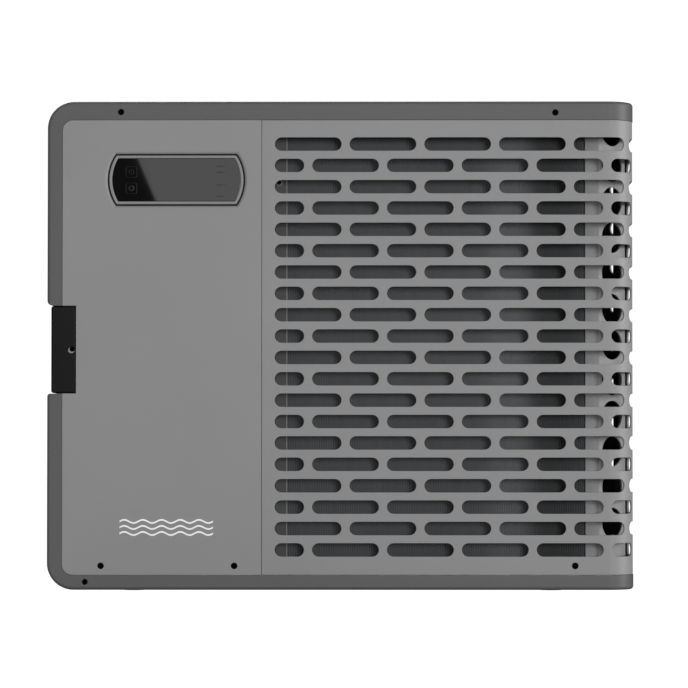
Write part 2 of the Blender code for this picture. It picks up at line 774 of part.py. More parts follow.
def fan_guard():
    """Round guard outside the outlet: close rings on four arms, so that no finger reaches the fan."""
    front = REAR - PANEL_INSET + CLEAR
    half_wire = 0.0012
    wire_front, wire_back = front + 0.0046, front + 0.0074
    guard = None
    for index in range(GUARD_RINGS):
        radius = GUARD_INNER + index * GUARD_PITCH
        profile = [
            (radius + half_wire, wire_back),
            (radius + half_wire, wire_front),
            (radius - half_wire, wire_front),
            (radius - half_wire, wire_back),
        ]
        name = "fan_guard" if index == 0 else f"guard_ring_{index}"
        finish = "black_plastic" if index == 0 else None
        ring = turned(name, profile, (FAN_X, 0, FAN_Z), (0, 1, 0), finish, 24)
        if index == 0:
            guard = ring
        else:
            join(guard, ring)
    outer = GUARD_INNER + (GUARD_RINGS - 1) * GUARD_PITCH
    arm_low, arm_high = (GUARD_INNER, front + 0.0034, -0.0016), (outer, front + 0.0056, 0.0016)
    foot_low, foot_high = (outer - 0.003, front, -0.005), (outer + 0.006, front + 0.0065, 0.005)
    for index in range(4):
        turn = Matrix.Rotation(math.radians(45 + 90 * index), 3, "Y")
        arm = block(f"guard_arm_{index}", arm_low, arm_high)
        foot = block(f"guard_foot_{index}", foot_low, foot_high)
        for piece in (arm, foot):
            offset = piece.location.copy()
            piece.rotation_euler = turn.to_euler()
            piece.location = Vector((FAN_X, 0, FAN_Z)) + turn @ Vector((offset.x, 0, offset.z))
            piece.location.y = offset.y
            join(guard, piece)


def fan_motor():
    """Motor on an upright strap behind the coil. Its shaft turns in a bore."""
    left, right = FAN_X - 0.020, FAN_X + 0.020
    low, high = (left, -0.0450, FLOOR), (right, -0.0450 + WALL, CEILING)
    strap = block("motor_bracket", low, high, "galvanised")
    for name, low_z in (("bracket_foot", FLOOR), ("bracket_head", CEILING - WALL)):
        join(strap, block(name, (left, -0.0440, low_z), (right, -0.0250, low_z + WALL)))
    profile = [
        (0.0, 0.026),
        (0.012, 0.026),
        (0.014, 0.022),
        (0.034, 0.018),
        (0.038, 0.012),
        (0.038, -0.036),
        (0.034, -0.0427),
        (0.0, -0.0427),
    ]
    motor = turned("fan_motor", profile, (FAN_X, 0, FAN_Z), (0, 1, 0), "compressor_black", 18)
    deep, mouth = (FAN_X, 0.008, FAN_Z), (FAN_X, 0.040, FAN_Z)
    cut(motor, rod("motor_bore", deep, mouth, SHAFT_RADIUS + CLEAR, None, 12))


def blade_bmesh(turn):
    """One pitched blade as a thin solid, from inside the hub to the tip."""
    bm = bmesh.new()
    inner, outer = HUB_RADIUS - 0.002, IMPELLER_RADIUS
    steps_out, steps_across = 3, 2
    rows = []
    for i in range(steps_out + 1):
        out = i / steps_out
        radius = inner + (outer - inner) * out
        sweep = 10 * out * out
        half_chord = 17 + 9 * out
        row = []
        for j in range(steps_across + 1):
            across = j / steps_across
            angle = math.radians(turn + sweep + half_chord * (2 * across - 1))
            rise = FAN_FRONT + 0.003 + (FAN_BACK - FAN_FRONT - 0.006) * across
            bow = 0.003 * math.sin(math.pi * across)
            row.append(bm.verts.new((radius * math.cos(angle), rise + bow, radius * math.sin(angle))))
        rows.append(row)
    for before, after in zip(rows, rows[1:]):
        for j in range(steps_across):
            bm.faces.new((before[j], before[j + 1], after[j + 1], after[j]))
    bm.normal_update()
    bmesh.ops.solidify(bm, geom=bm.faces, thickness=0.0018)
    return bm


def fan_rotor():
    """Shaft, impeller and nut: everything that spins on the fan axis."""
    axis_point = (FAN_X, 0, FAN_Z)
    shaft_ends = (FAN_X, 0.0085, FAN_Z), (FAN_X, FAN_BACK + 0.008, FAN_Z)
    shaft = rod("motor_shaft", *shaft_ends, SHAFT_RADIUS, "steel", 12)
    hub = [
        (SHAFT_RADIUS + CLEAR, FAN_BACK),
        (HUB_RADIUS - 0.004, FAN_BACK),
        (HUB_RADIUS, FAN_BACK - 0.004),
        (HUB_RADIUS, FAN_FRONT),
        (SHAFT_RADIUS + CLEAR, FAN_FRONT),
    ]
    impeller = turned("fan_impeller", hub, axis_point, (0, 1, 0), "black_plastic", 20)
    for i in range(BLADES):
        blade = place_bmesh(f"blade_{i}", blade_bmesh(360 * i / BLADES), None, axis_point)
        join(impeller, blade)
    nut_bore = (SHAFT_RADIUS + CLEAR) / math.cos(math.pi / 6)
    nut = turned(
        "impeller_nut",
        [
            (nut_bore, FAN_BACK + 0.0055),
            (0.0080, FAN_BACK + 0.0055),
            (0.0080, FAN_BACK + CLEAR),
            (nut_bore, FAN_BACK + CLEAR),
        ],
        axis_point,
        (0, 1, 0),
        "steel",
        6,
    )
    joint_empty("fan_axis", (FAN_X, FAN_FRONT, FAN_Z), shaft, impeller, nut)


# ------------------------------------------------------------------ refrigerant circuit
def compressor():
    """Hermetic rotary compressor on three grommets, with its suction accumulator."""
    radius = COMPRESSOR_RADIUS
    profile = [
        (0.0, 0.2000),
        (0.020, 0.1988),
        (0.036, 0.1935),
        (radius - 0.002, 0.186),
        (radius, 0.180),
        (radius, 0.034),
        (radius - 0.003, 0.026),
        (0.034, 0.0175),
        (0.0, 0.0175),
    ]
    body = turned("compressor", profile, COMPRESSOR, (0, 0, 1), "compressor_black", 20)
    for index, degrees in enumerate((90, 210, 330)):
        angle = math.radians(degrees)
        spot = COMPRESSOR + Vector((math.cos(angle), math.sin(angle), 0)) * 0.050
        under, over = Vector((0, 0, MOUNT_LOW)), Vector((0, 0, MOUNT_HIGH))
        pad = rod(f"mount_pad_{index}", spot + under, spot + over, 0.0085, None, 12)
        arm = block(f"mount_arm_{index}", (0, -0.008, MOUNT_LOW), (0.050, 0.008, MOUNT_HIGH))
        arm.location = COMPRESSOR + (spot - COMPRESSOR) / 2 + (under + over) / 2
        arm.rotation_euler = (0, 0, angle)
        join(body, arm, pad)
        rod(
            f"compressor_grommet_{index + 1}",
            spot + Vector((0, 0, FLOOR)),
            spot + Vector((0, 0, MOUNT_LOW - CLEAR)),
            0.0075,
            "rubber",
            10,
        )
    valve_face = VALVE.z - VALVE_PORT_LOW - CLEAR
    stub_ends = (VALVE.x, VALVE.y, 0.180), (VALVE.x, VALVE.y, valve_face)
    join(body, rod("discharge_stub", *stub_ends, 0.0050, None, 10))
    radius = ACCUMULATOR_RADIUS
    can = [
        (0.0, 0.180),
        (0.008, 0.179),
        (radius, 0.170),
        (radius, 0.060),
        (0.008, 0.051),
        (0.0, 0.050),
    ]
    turned("accumulator", can, ACCUMULATOR, (0, 0, 1), "compressor_black", 16)
    towards = (COMPRESSOR - ACCUMULATOR).normalized()
    entry = COMPRESSOR - towards * (COMPRESSOR_RADIUS + 0.0006)
    below = ACCUMULATOR + Vector((0, 0, 0.050 - CLEAR))
    corner = ACCUMULATOR + Vector((0, 0, 0.038))
    route = bent([below, corner, entry + Vector((0, 0, 0.038))], 0.006)
    tube("accumulator_pipe", route, 0.004, "copper")


def reversing_valve():
    """Four-way valve: one port below, three on the side, and a pilot coil."""
    half = Vector((0.040, 0, 0))
    body = rod("four_way_valve", VALVE - half, VALVE + half, VALVE_RADIUS, "brass", 14)
    below = VALVE - Vector((0, 0, VALVE_PORT_LOW))
    join(body, rod("valve_port_low", VALVE, below, 0.0055, None, 10))
    for i in (-1, 0, 1):
        start = VALVE + Vector((i * PORT_STEP, 0, 0))
        end = start + Vector((0, 0.017, 0))
        join(body, rod(f"valve_port_{i + 1}", start, end, 0.0055, None, 10))
    coil_low, coil_high = Vector((-0.016, -0.030, -0.009)), Vector((0.016, -0.008, 0.009))
    join(body, block("pilot_coil", VALVE + coil_low, VALVE + coil_high))


def copper_pipes():
    """Bent pipes between the compressor, valve, exchanger, coil and accumulator."""
    port = VALVE + Vector((0, 0.017 + CLEAR, 0))
    left, right = port - Vector((PORT_STEP, 0, 0)), port + Vector((PORT_STEP, 0, 0))
    suction = [
        port,
        port + Vector((0, 0.010, 0)),
        port + Vector((0, 0.010, 0.018)),
        (-0.186, port.y + 0.010, port.z + 0.018),
        (-0.186, ACCUMULATOR.y, port.z + 0.018),
        (-0.1785, ACCUMULATOR.y, port.z + 0.004),
        ACCUMULATOR + Vector((0, 0, 0.180 + CLEAR)),
    ]
    tube("suction_pipe", bent(suction, 0.0065), PIPE_RADIUS, "copper")
    exchanger_gas = [
        left,
        left + Vector((0, 0.012, 0)),
        (GAS_PORT_X, 0.010, 0.220),
        (GAS_PORT_X, GAS_PORT_Y, 0.205),
        (GAS_PORT_X, GAS_PORT_Y, EXCHANGER_TOP + GAS_PORT_RISE + CLEAR),
    ]
    tube("exchanger_gas_pipe", bent(exchanger_gas, 0.006), PIPE_RADIUS, "copper")
    pass_y, pass_z = GAS_PASS
    coil_gas = [
        right,
        right + Vector((0, 0.012, 0)),
        (right.x + 0.012, pass_y, pass_z),
        (HEADER.x, pass_y, pass_z),
        (HEADER.x, HEADER.y + 0.006 + CLEAR, pass_z),
    ]
    tube("coil_gas_pipe", bent(coil_gas, 0.0062), PIPE_RADIUS, "copper")


def liquid_line():
    """From the exchanger through the filter drier and the expansion valve to the coil."""
    drier_low, drier_high = 0.060, 0.112
    profile = [
        (0.0, drier_high),
        (0.004, drier_high),
        (0.009, drier_high - 0.008),
        (0.009, drier_low + 0.008),
        (0.004, drier_low),
        (0.0, drier_low),
    ]
    turned("filter_drier", profile, DRIER, (0, 0, 1), "copper", 14)
    towards = (DRIER - EXCHANGER).normalized()
    start = EXCHANGER + towards * (EXCHANGER_RADIUS + 0.0006)
    level = Vector((0, 0, 0.034))
    route = [start + level, DRIER + level, DRIER + Vector((0, 0, drier_low - CLEAR))]
    tube("liquid_pipe", bent(route, 0.006), 0.0032, "copper")
    pass_y, pass_z = LIQUID_PASS
    base, seat = DRIER + Vector((0, 0, drier_high + CLEAR)), DRIER + Vector((0, 0, 0.132))
    valve = rod("expansion_valve", base, seat, 0.0065, "brass", 12)
    low, high = DRIER + Vector((0, 0, 0.130)), DRIER + Vector((0, 0, 0.158))
    join(valve, rod("expansion_motor", low, high, 0.0105, None, 14))
    port_ends = (DRIER.x, pass_y, pass_z), (DRIER.x + 0.011, pass_y, pass_z)
    join(valve, rod("expansion_port", *port_ends, 0.0036, None, 10))
    feed = [
        (DRIER.x + 0.011 + CLEAR, pass_y, pass_z),
        (HEADER.x, pass_y, pass_z),
        (HEADER.x, COIL_BACK - 0.008, pass_z),
        (-0.0510 - CLEAR, COIL_BACK - 0.008, pass_z),
    ]
    tube("coil_feed_pipe", bent(feed, 0.0045), 0.0028, "copper")


# ------------------------------------------------------------------ water side
def heat_exchanger():
    """Plastic-cased titanium heat exchanger with ports for water and refrigerant."""
    radius = EXCHANGER_RADIUS
    top = EXCHANGER_TOP
    profile = [
        (0.0, top),
        (radius - 0.006, top),
        (radius, top - 0.006),
        (radius, top - 0.022),
        (radius - 0.003, top - 0.024),
        (radius - 0.003, FLOOR),
        (0.0, FLOOR),
    ]
    body = turned("heat_exchanger", profile, EXCHANGER, (0, 0, 1), "grey_plastic", 20)
    face = EXCHANGER.y + EXCHANGER_RADIUS
    depth, past = 0.030, 0.010
    boss_ends = (WATER_X, EXCHANGER.y, INLET_Z), (WATER_X, face, INLET_Z)
    gas_ends = (GAS_PORT_X, GAS_PORT_Y, top - past), (GAS_PORT_X, GAS_PORT_Y, top + GAS_PORT_RISE)
    join(
        body,
        rod("inlet_boss", *boss_ends, 0.024, None, 20),
        rod("gas_boss", *gas_ends, 0.0065, None, 10),
    )
    in_ends = (WATER_X, face - depth, INLET_Z), (WATER_X, face + past, INLET_Z)
    out_ends = (WATER_X, EXCHANGER.y, top - depth), (WATER_X, EXCHANGER.y, top + past)
    cut(
        body,
        rod("inlet_bore", *in_ends, WATER_BORE, None, 20),
        rod("outlet_bore", *out_ends, WATER_BORE, None, 20),
    )


def water_pipes():
    """Short inlet pipe, and the outlet elbow with the boss of the flow switch."""
    end = UNION_FRONT + 0.0055
    start = EXCHANGER.y + EXCHANGER_RADIUS + CLEAR
    inlet = [
        (WATER_OUTER, end),
        (WATER_OUTER, start),
        (WATER_BORE, start),
        (WATER_BORE, end),
    ]
    turned("water_inlet_pipe", inlet, (WATER_X, 0, INLET_Z), (0, 1, 0), "white_plastic", 16)
    base = Vector((WATER_X, EXCHANGER.y, EXCHANGER_TOP + CLEAR))
    corner = Vector((WATER_X, EXCHANGER.y, OUTLET_Z))
    mouth = Vector((WATER_X, end, OUTLET_Z))
    extra, bend = 0.005, 0.0225
    outer_route = bent([base, corner, mouth], bend, 4)
    outer_pipe = tube("elbow_outer", outer_route, WATER_OUTER, None, 3)
    elbow = place_bmesh("water_outlet_pipe", evaluated_bmesh(outer_pipe), "white_plastic")
    inner_ends = base - Vector((0, 0, extra)), mouth + Vector((0, extra, 0))
    inner_route = bent([inner_ends[0], corner, inner_ends[1]], bend, 4)
    inner_pipe = tube("elbow_inner", inner_route, WATER_BORE, None, 3)
    bore = place_bmesh("elbow_bore", evaluated_bmesh(inner_pipe))
    axis_low = Vector((WATER_X, PADDLE_Y, OUTLET_Z))
    boss_top = axis_low + Vector((0, 0, SWITCH_BOSS_RISE))
    join(elbow, rod("switch_boss", axis_low, boss_top, 0.0110, None, 16))
    neck_top = boss_top + Vector((0, 0, 0.007))
    cut(elbow, bore, rod("switch_neck", axis_low, neck_top, 0.0080, None, 16))


def lobed_outline(centre, radius, depth, lobes):
    """A round grip outline with flat-bottomed flutes."""
    points = []
    steps = lobes * 4
    for i in range(steps):
        reach = radius if i % 4 < 2 else radius - depth
        angle = 2 * math.pi * i / steps
        points.append((centre[0] + reach * math.cos(angle), centre[1] + reach * math.sin(angle)))
    return points


def hose_union(name, z):
    """Union nut that turns on a hose spigot."""
    centre = (WATER_X, z)
    length = UNION_BACK - UNION_FRONT
    lip = 0.0115
    bore = arc(centre, 0.0168, 0, 345, 23)
    outline = lobed_outline(centre, 0.0290, 0.0022, 8)
    nut = front_sheet(f"{name}_union_nut", outline, [bore], UNION_FRONT, length, "grey_plastic")
    socket = rod(
        f"{name}_nut_socket",
        (WATER_X, UNION_FRONT - 0.005, z),
        (WATER_X, UNION_BACK - lip, z),
        WATER_OUTER + 0.0006,
        None,
        24,
    )
    cut(nut, socket)
    collar_back = UNION_BACK - lip - CLEAR
    collar_front = UNION_FRONT + 0.0055 + CLEAR
    end = REAR + REACH
    barrel, bore_radius = 0.0160, 0.0130
    profile = [
        (bore_radius, end),
        (barrel - 0.0014, end),
        (barrel, end - 0.004),
        (barrel - 0.0012, end - 0.0045),
        (barrel - 0.0012, end - 0.008),
        (barrel, end - 0.012),
        (barrel, collar_back),
        (WATER_OUTER - 0.0002, collar_back),
        (WATER_OUTER - 0.0002, collar_front),
        (bore_radius, collar_front),
    ]
    turned(f"{name}_hose_spigot", profile, (WATER_X, 0, z), (0, 1, 0), "grey_plastic", 16)
    joint_empty(f"{name}_union_axis", (WATER_X, UNION_FRONT, z), nut)


def flow_switch():
    """Flow switch on the outlet elbow, and the paddle that hangs in the water."""
    foot = OUTLET_Z + SWITCH_BOSS_RISE + CLEAR
    body = block(
        "flow_switch",
        (WATER_X - 0.0130, PADDLE_Y - 0.0125, foot + 0.004),
        (WATER_X + 0.0130, PADDLE_Y + 0.0125, foot + 0.026),
        "black_plastic",
        0.0015,
    )
    ring_ends = (WATER_X, PADDLE_Y, foot), (WATER_X, PADDLE_Y, foot + 0.006)
    join(body, rod("switch_neck_ring", *ring_ends, 0.0105, None, 14))
    pivot = Vector((WATER_X, PADDLE_Y, PADDLE_PIVOT_Z))
    paddle = rod(
        "flow_paddle",
        pivot - Vector((0.0050, 0, 0)),
        pivot + Vector((0.0050, 0, 0)),
        0.0018,
        "steel",
        10,
    )
    half_thick = 0.0006
    stem = Vector((-0.002, -half_thick, -0.010)), Vector((0.002, half_thick, 0))
    blade = Vector((-0.007, -half_thick, -0.0290)), Vector((0.007, half_thick, -0.006))
    join(
        paddle,
        block("paddle_stem", pivot + stem[0], pivot + stem[1]),
        block("paddle_blade", pivot + blade[0], pivot + blade[1]),
    )
    joint_empty("paddle_axis", pivot, paddle)


# ------------------------------------------------------------------ electrical side
def electrical_box():
    """Open tray over the machine side with the main board in it, and the cable gland at the rear."""
    low, high = Vector((-0.2035, -0.110, 0.2620)), Vector((-0.0745, 0.060, 0.3350))
    box = block("electrical_box", low, high, "grey_plastic")
    hollow = block("box_hollow", low + Vector((WALL, WALL, WALL)), high + Vector((-WALL, -WALL, 0.01)))
    cut(box, hollow)
    block(
        "main_board",
        low + Vector((0.010, 0.012, WALL + 0.006)),
        Vector((high.x - 0.010, high.y - 0.012, low.z + WALL + 0.0076)),
        "circuit_green",
    )
    face = REAR - PANEL_INSET
    profile = [
        (GLAND_BORE, face + 0.0062),
        (0.0072, face + 0.0062),
        (0.0072, face + 0.0045),
        (0.0115, face + 0.0045),
        (0.0115, face + CLEAR),
        (GLAND_RADIUS, face + CLEAR),
        (GLAND_RADIUS, face - 0.014),
        (GLAND_BORE, face - 0.014),
    ]
    turned("cable_gland", profile, (GLAND_X, 0, GLAND_Z), (0, 1, 0), "black_plastic", 12)
    dome = [
        (GLAND_BORE, face + 0.0200),
        (0.0075, face + 0.0200),
        (0.0105, face + 0.0150),
        (0.0105, face + 0.0048),
        (0.0075, face + 0.0048),
        (0.0075, face + 0.0065),
        (GLAND_BORE, face + 0.0065),
    ]
    turned("cable_gland_nut", dome, (GLAND_X, 0, GLAND_Z), (0, 1, 0), "black_plastic", 12)


def build():
    outer_shell()
    feet()
    front_left_panel()
    front_grille()
    rear_left_panel()
    rear_right_panel()
    side_grip()
    display()
    partition_wall()
    corner_post()
    evaporator()
    fan_shroud()
    fan_guard()
    fan_motor()
    fan_rotor()
    compressor()
    reversing_valve()
    copper_pipes()
    liquid_line()
    heat_exchanger()
    water_pipes()
    hose_union("inlet", INLET_Z)
    hose_union("outlet", OUTLET_Z)
    flow_switch()
    electrical_box()


build()
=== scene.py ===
"""Looks of the compact pool heat pump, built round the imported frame."""

import json
import math

import bmesh
import bpy
from mathutils import Matrix, Vector


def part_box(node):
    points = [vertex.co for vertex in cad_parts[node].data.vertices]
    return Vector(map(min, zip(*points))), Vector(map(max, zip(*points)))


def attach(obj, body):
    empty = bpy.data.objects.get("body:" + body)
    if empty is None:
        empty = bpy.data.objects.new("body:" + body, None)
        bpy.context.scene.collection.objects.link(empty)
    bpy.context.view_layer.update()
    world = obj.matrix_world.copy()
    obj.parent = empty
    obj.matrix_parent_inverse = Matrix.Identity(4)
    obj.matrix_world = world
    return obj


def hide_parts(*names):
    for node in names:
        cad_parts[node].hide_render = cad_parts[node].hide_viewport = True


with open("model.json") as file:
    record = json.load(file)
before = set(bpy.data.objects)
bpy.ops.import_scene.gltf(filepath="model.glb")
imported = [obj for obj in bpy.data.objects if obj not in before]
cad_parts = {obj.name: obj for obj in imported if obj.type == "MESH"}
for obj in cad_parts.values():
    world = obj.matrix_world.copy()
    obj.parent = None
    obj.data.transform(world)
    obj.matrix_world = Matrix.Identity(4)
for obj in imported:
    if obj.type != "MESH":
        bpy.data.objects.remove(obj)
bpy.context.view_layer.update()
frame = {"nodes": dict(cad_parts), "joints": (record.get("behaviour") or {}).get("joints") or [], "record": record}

SCENE = bpy.context.scene
CASING = "casing"

# ------------------------------------------------------------------ places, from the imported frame
LEFT, FRONT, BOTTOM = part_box("outer_shell")[0]
RIGHT, REAR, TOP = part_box("outer_shell")[1]
JOINTS = {joint["name"]: Vector(joint["pos_m"]) for joint in frame["joints"]}
FAN = JOINTS["fan_spin"]
INLET, OUTLET = JOINTS["inlet_nut_turn"], JOINTS["outlet_nut_turn"]
GLAND = sum(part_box("cable_gland"), Vector()) / 2
GRIP_LOW, GRIP_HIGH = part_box("side_grip")
DISPLAY_RAISED = Vector((0.0, 0.0, 0.0004))  # it is seen this far above its solid
DISPLAY = sum(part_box("display_bezel"), Vector()) / 2 + DISPLAY_RAISED
SEAM_X = (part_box("front_left_panel")[1].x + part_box("front_grille")[0].x) / 2
SIDE_SEAM_Y = (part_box("front_grille")[1].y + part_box("rear_right_panel")[0].y) / 2
PANEL_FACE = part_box("front_left_panel")[0].y
REAR_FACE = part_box("rear_left_panel")[1].y

# ------------------------------------------------------------------ sizes, in metres
WALL = 0.002
RIM_TOP, RIM_SIDE, RIM_BOTTOM = 0.0139, 0.0112, 0.0111
SHELL_ROUND, RIM_ROUND, PLAN_ROUND, EDGE_ROUND = 0.020, 0.008, 0.020, 0.0025
SHEET = 0.0015
SHEET_EDGE = 0.00025      # rounding of a punched edge
FOLD_EDGE = 0.0003        # rounding of a folded one
PANEL_GAP = 0.0002
SEAM = 0.0003             # as seen: the folded edges nearly touch
PANEL_LOW, PANEL_HIGH = BOTTOM + RIM_BOTTOM + PANEL_GAP, TOP - RIM_TOP - PANEL_GAP
PANEL_LEFT = LEFT + RIM_SIDE + PANEL_GAP
SLOT_LONG, SLOT_MIDDLE, SLOT_SHORT = 0.050, 0.039, 0.022
SLOT_HEIGHT, SLOT_BAR, SLOT_START = 0.010, 0.006, -0.0495
ROWS, ROW_LOW, ROW_PITCH = 20, 0.0329, 0.016
ROW_ODD = (SLOT_LONG,) * 4 + (SLOT_MIDDLE, SLOT_LONG)
ROW_EVEN = (SLOT_SHORT,) + (SLOT_LONG,) * 4 + (SLOT_SHORT, SLOT_MIDDLE)
REAR_SLOT_START, REAR_SLOT_LENGTH = 0.2217, 0.0115  # short, at the rear corner
THROAT_RADIUS = 0.1175
SCREW_SEAT, SCREW_HEAD, SCREW_SUNK = 0.0025, 0.0023, 0.0016
GRIP_SCREW_LESS = 0.0006  # the grip's screw is narrower by this
GRIP_SCREW_OFF = 0.0005   # and is seen this far to the right of its solid and below it
GRIP_WALL = 0.0024
DISPLAY_WIDE, DISPLAY_TALL = 0.0515, 0.0195  # half sizes
DISPLAY_BULGE, DISPLAY_CORNER = 0.0060, 0.0020
LIP_REACH = 0.0018        # of the panel's rolled edge round the display
PAST = 0.01               # how far a cutter reaches past what it cuts
TURN_Y = (0, 1, 0)        # axis of what is turned about a line from front to rear


# ------------------------------------------------------------------ materials
class Shader:
    """A Principled material whose pattern nodes share object coordinates."""

    def __init__(self, name, **sockets):
        self.material = bpy.data.materials.new(name)
        self.material.use_nodes = True
        self.tree = self.material.node_tree
        self.bsdf = self.tree.nodes["Principled BSDF"]
        for socket, value in sockets.items():
            self.bsdf.inputs[socket.replace("_", " ").title().replace("Ior", "IOR")].default_value = value
        self.place = self.tree.nodes.new("ShaderNodeTexCoord").outputs["Object"]

    def node(self, kind, inputs=None, **settings):
        made = self.tree.nodes.new(kind)
        for key, value in settings.items():
            setattr(made, key, value)
        for key, value in (inputs or {}).items():
            if isinstance(value, bpy.types.NodeSocket):
                self.tree.links.new(value, made.inputs[key])
            else:
                made.inputs[key].default_value = value
        return made

    def link(self, output, socket):
        self.tree.links.new(output, self.bsdf.inputs[socket])

    def stretched(self, scale):
        mapping = self.node("ShaderNodeMapping", {"Vector": self.place, "Scale": scale})
        return mapping.outputs["Vector"]

    def noise(self, scale, detail=2.0, roughness=0.5, vector=None):
        inputs = {"Vector": vector or self.place, "Scale": scale, "Detail": detail, "Roughness": roughness}
        return self.node("ShaderNodeTexNoise", inputs).outputs["Fac"]

    def cells(self, scale, **settings):
        inputs = {"Vector": self.place, "Scale": scale}
        return self.node("ShaderNodeTexVoronoi", inputs, **settings)

    def ramp(self, factor, low, high, start=0.3, end=0.7):
        ramp = self.node("ShaderNodeValToRGB", {"Fac": factor})
        for element, position, rgb in zip(ramp.color_ramp.elements, (start, end), (low, high)):
            element.position, element.color = position, (*rgb, 1.0)
        return ramp.outputs["Color"]

    def rough(self, factor, low, high):
        """Roughness that follows a pattern from low to high."""
        inputs = {"Value": factor, "To Min": low, "To Max": high}
        self.link(self.node("ShaderNodeMapRange", inputs).outputs["Result"], "Roughness")

    def bump(self, height, strength, distance):
        inputs = {"Height": height, "Strength": strength, "Distance": distance}
        self.link(self.node("ShaderNodeBump", inputs).outputs["Normal"], "Normal")

    def mottle(self, rgb, spread, scale, detail=3.0):
        """Base colour that varies a little either way."""
        low = [channel * (1 - spread) for channel in rgb]
        high = [channel * (1 + spread) for channel in rgb]
        self.link(self.ramp(self.noise(scale, detail), low, high), "Base Color")


def powder_coat(name, rgb, gloss=0.5):
    """Baked powder: satin, with a fine orange-peel skin and a faint cloudiness."""
    coat = Shader(name, specular_ior_level=gloss)
    coat.mottle(rgb, spread=0.025, scale=9.0)
    coat.rough(coat.noise(700.0), low=0.48, high=0.60)
    fine, coarse = coat.noise(1500.0, 2.0), coat.noise(260.0, 1.0)
    grain = coat.node("ShaderNodeMath", {0: fine, 1: coarse}, operation="ADD")
    coat.bump(grain.outputs["Value"], strength=0.22, distance=0.00012)
    return coat.material


def moulded(name, rgb, roughness=0.45, grain=900.0, depth=0.00012, spread=0.05, gloss=0.5):
    """Injection-moulded plastic with a spark-eroded grain."""
    plastic = Shader(name, specular_ior_level=gloss)
    plastic.mottle(rgb, spread, scale=25.0)
    plastic.rough(plastic.noise(300.0), low=roughness - 0.05, high=roughness + 0.07)
    plastic.bump(plastic.cells(grain).outputs["Distance"], strength=0.25, distance=depth)
    return plastic.material


def drawn_metal(name, rgb, roughness, spread):
    """Bare or plated metal: clouded tarnish and fine drawing lines."""
    metal = Shader(name, metallic=1.0)
    metal.mottle(rgb, spread, scale=60.0, detail=5.0)
    lines = metal.noise(30.0, detail=4.0, roughness=0.6, vector=metal.stretched((40.0, 40.0, 40.0)))
    metal.rough(lines, low=roughness - 0.08, high=roughness + 0.12)
    metal.bump(lines, strength=0.12, distance=0.00008)
    return metal.material


def galvanised():
    """Zinc spangle: cells of slightly different grey and gloss."""
    zinc = Shader("galvanised_sheet", metallic=0.85)
    cells = zinc.cells(110.0, feature="F1")
    darker, lighter = (0.33, 0.34, 0.35), (0.50, 0.51, 0.53)
    zinc.link(zinc.ramp(cells.outputs["Color"], darker, lighter, start=0.2, end=0.8), "Base Color")
    zinc.rough(cells.outputs["Distance"], low=0.34, high=0.52)
    zinc.bump(zinc.noise(420.0), strength=0.08, distance=0.0001)
    return zinc.material


def fin_coating():
    """Dark coating on aluminium: duller where water has run down, with painted shade and light along the coil."""
    coat = Shader("fin_coating", metallic=0.10, specular_ior_level=0.20)
    runs = coat.noise(14.0, detail=4.0, roughness=0.6, vector=coat.stretched((9.0, 9.0, 1.2)))
    colour = coat.ramp(runs, (0.078, 0.082, 0.087), (0.089, 0.094, 0.099))
    along = coat.node("ShaderNodeSeparateXYZ", {"Vector": coat.place}).outputs["X"]
    coil_left, coil_right = -0.040, 0.184
    ends = {"Value": along, "From Min": coil_left, "From Max": coil_right}
    reach = coat.node("ShaderNodeMapRange", ends).outputs["Result"]
    curve = coat.node("ShaderNodeFloatCurve", {"Value": reach})
    # Painted shade and light along the coil: these values darken or lighten the coating, darkest near the right
    # end and lighter just before it.
    painted_shade_along_coil = (0.86, 0.82, 0.81, 0.78, 0.74, 0.76, 1.10, 0.30, 0.80)  # from left to right
    line = curve.mapping.curves[0].points
    line[0].location, line[1].location = (0.0, painted_shade_along_coil[0]), (1.0, painted_shade_along_coil[-1])
    for index in range(1, len(painted_shade_along_coil) - 1):
        line.new(index / (len(painted_shade_along_coil) - 1), painted_shade_along_coil[index])
    curve.mapping.update()
    shaded = coat.node("ShaderNodeHueSaturation", {"Color": colour, "Value": curve.outputs["Value"]})
    coat.link(shaded.outputs["Color"], "Base Color")
    coat.rough(coat.noise(500.0), low=0.42, high=0.58)
    coat.bump(coat.noise(900.0), strength=0.12, distance=0.0001)
    return coat.material


def display_lens():
    """Smoked hard-coated lens: near black, glossy, with a breath of unevenness."""
    lens = Shader("display_lens", specular_ior_level=0.5, ior=1.50)
    lens.mottle((0.0020, 0.0020, 0.0022), spread=0.10, scale=40.0)
    lens.rough(lens.noise(60.0), low=0.030, high=0.045)
    lens.bump(lens.noise(14.0, 1.0), strength=0.010, distance=0.0002)
    return lens.material


def circuit_board():
    """Green solder mask over copper tracks."""
    board = Shader("circuit_board")
    squares = board.cells(260.0, distance="CHEBYCHEV", feature="F1").outputs["Distance"]
    track, mask = (0.030, 0.16, 0.06), (0.012, 0.075, 0.030)
    board.link(board.ramp(squares, track, mask, start=0.25, end=0.45), "Base Color")
    board.rough(board.noise(400.0), low=0.28, high=0.42)
    board.bump(squares, strength=0.2, distance=0.00005)
    return board.material


def rubber():
    """Black vulcanised rubber with a dusty bloom."""
    pad = Shader("moulded_rubber", specular_ior_level=0.3)
    pad.mottle((0.014, 0.014, 0.014), spread=0.30, scale=120.0, detail=5.0)
    pad.rough(pad.noise(500.0), low=0.75, high=0.92)
    pad.bump(pad.noise(1100.0), strength=0.3, distance=0.00012)
    return pad.material


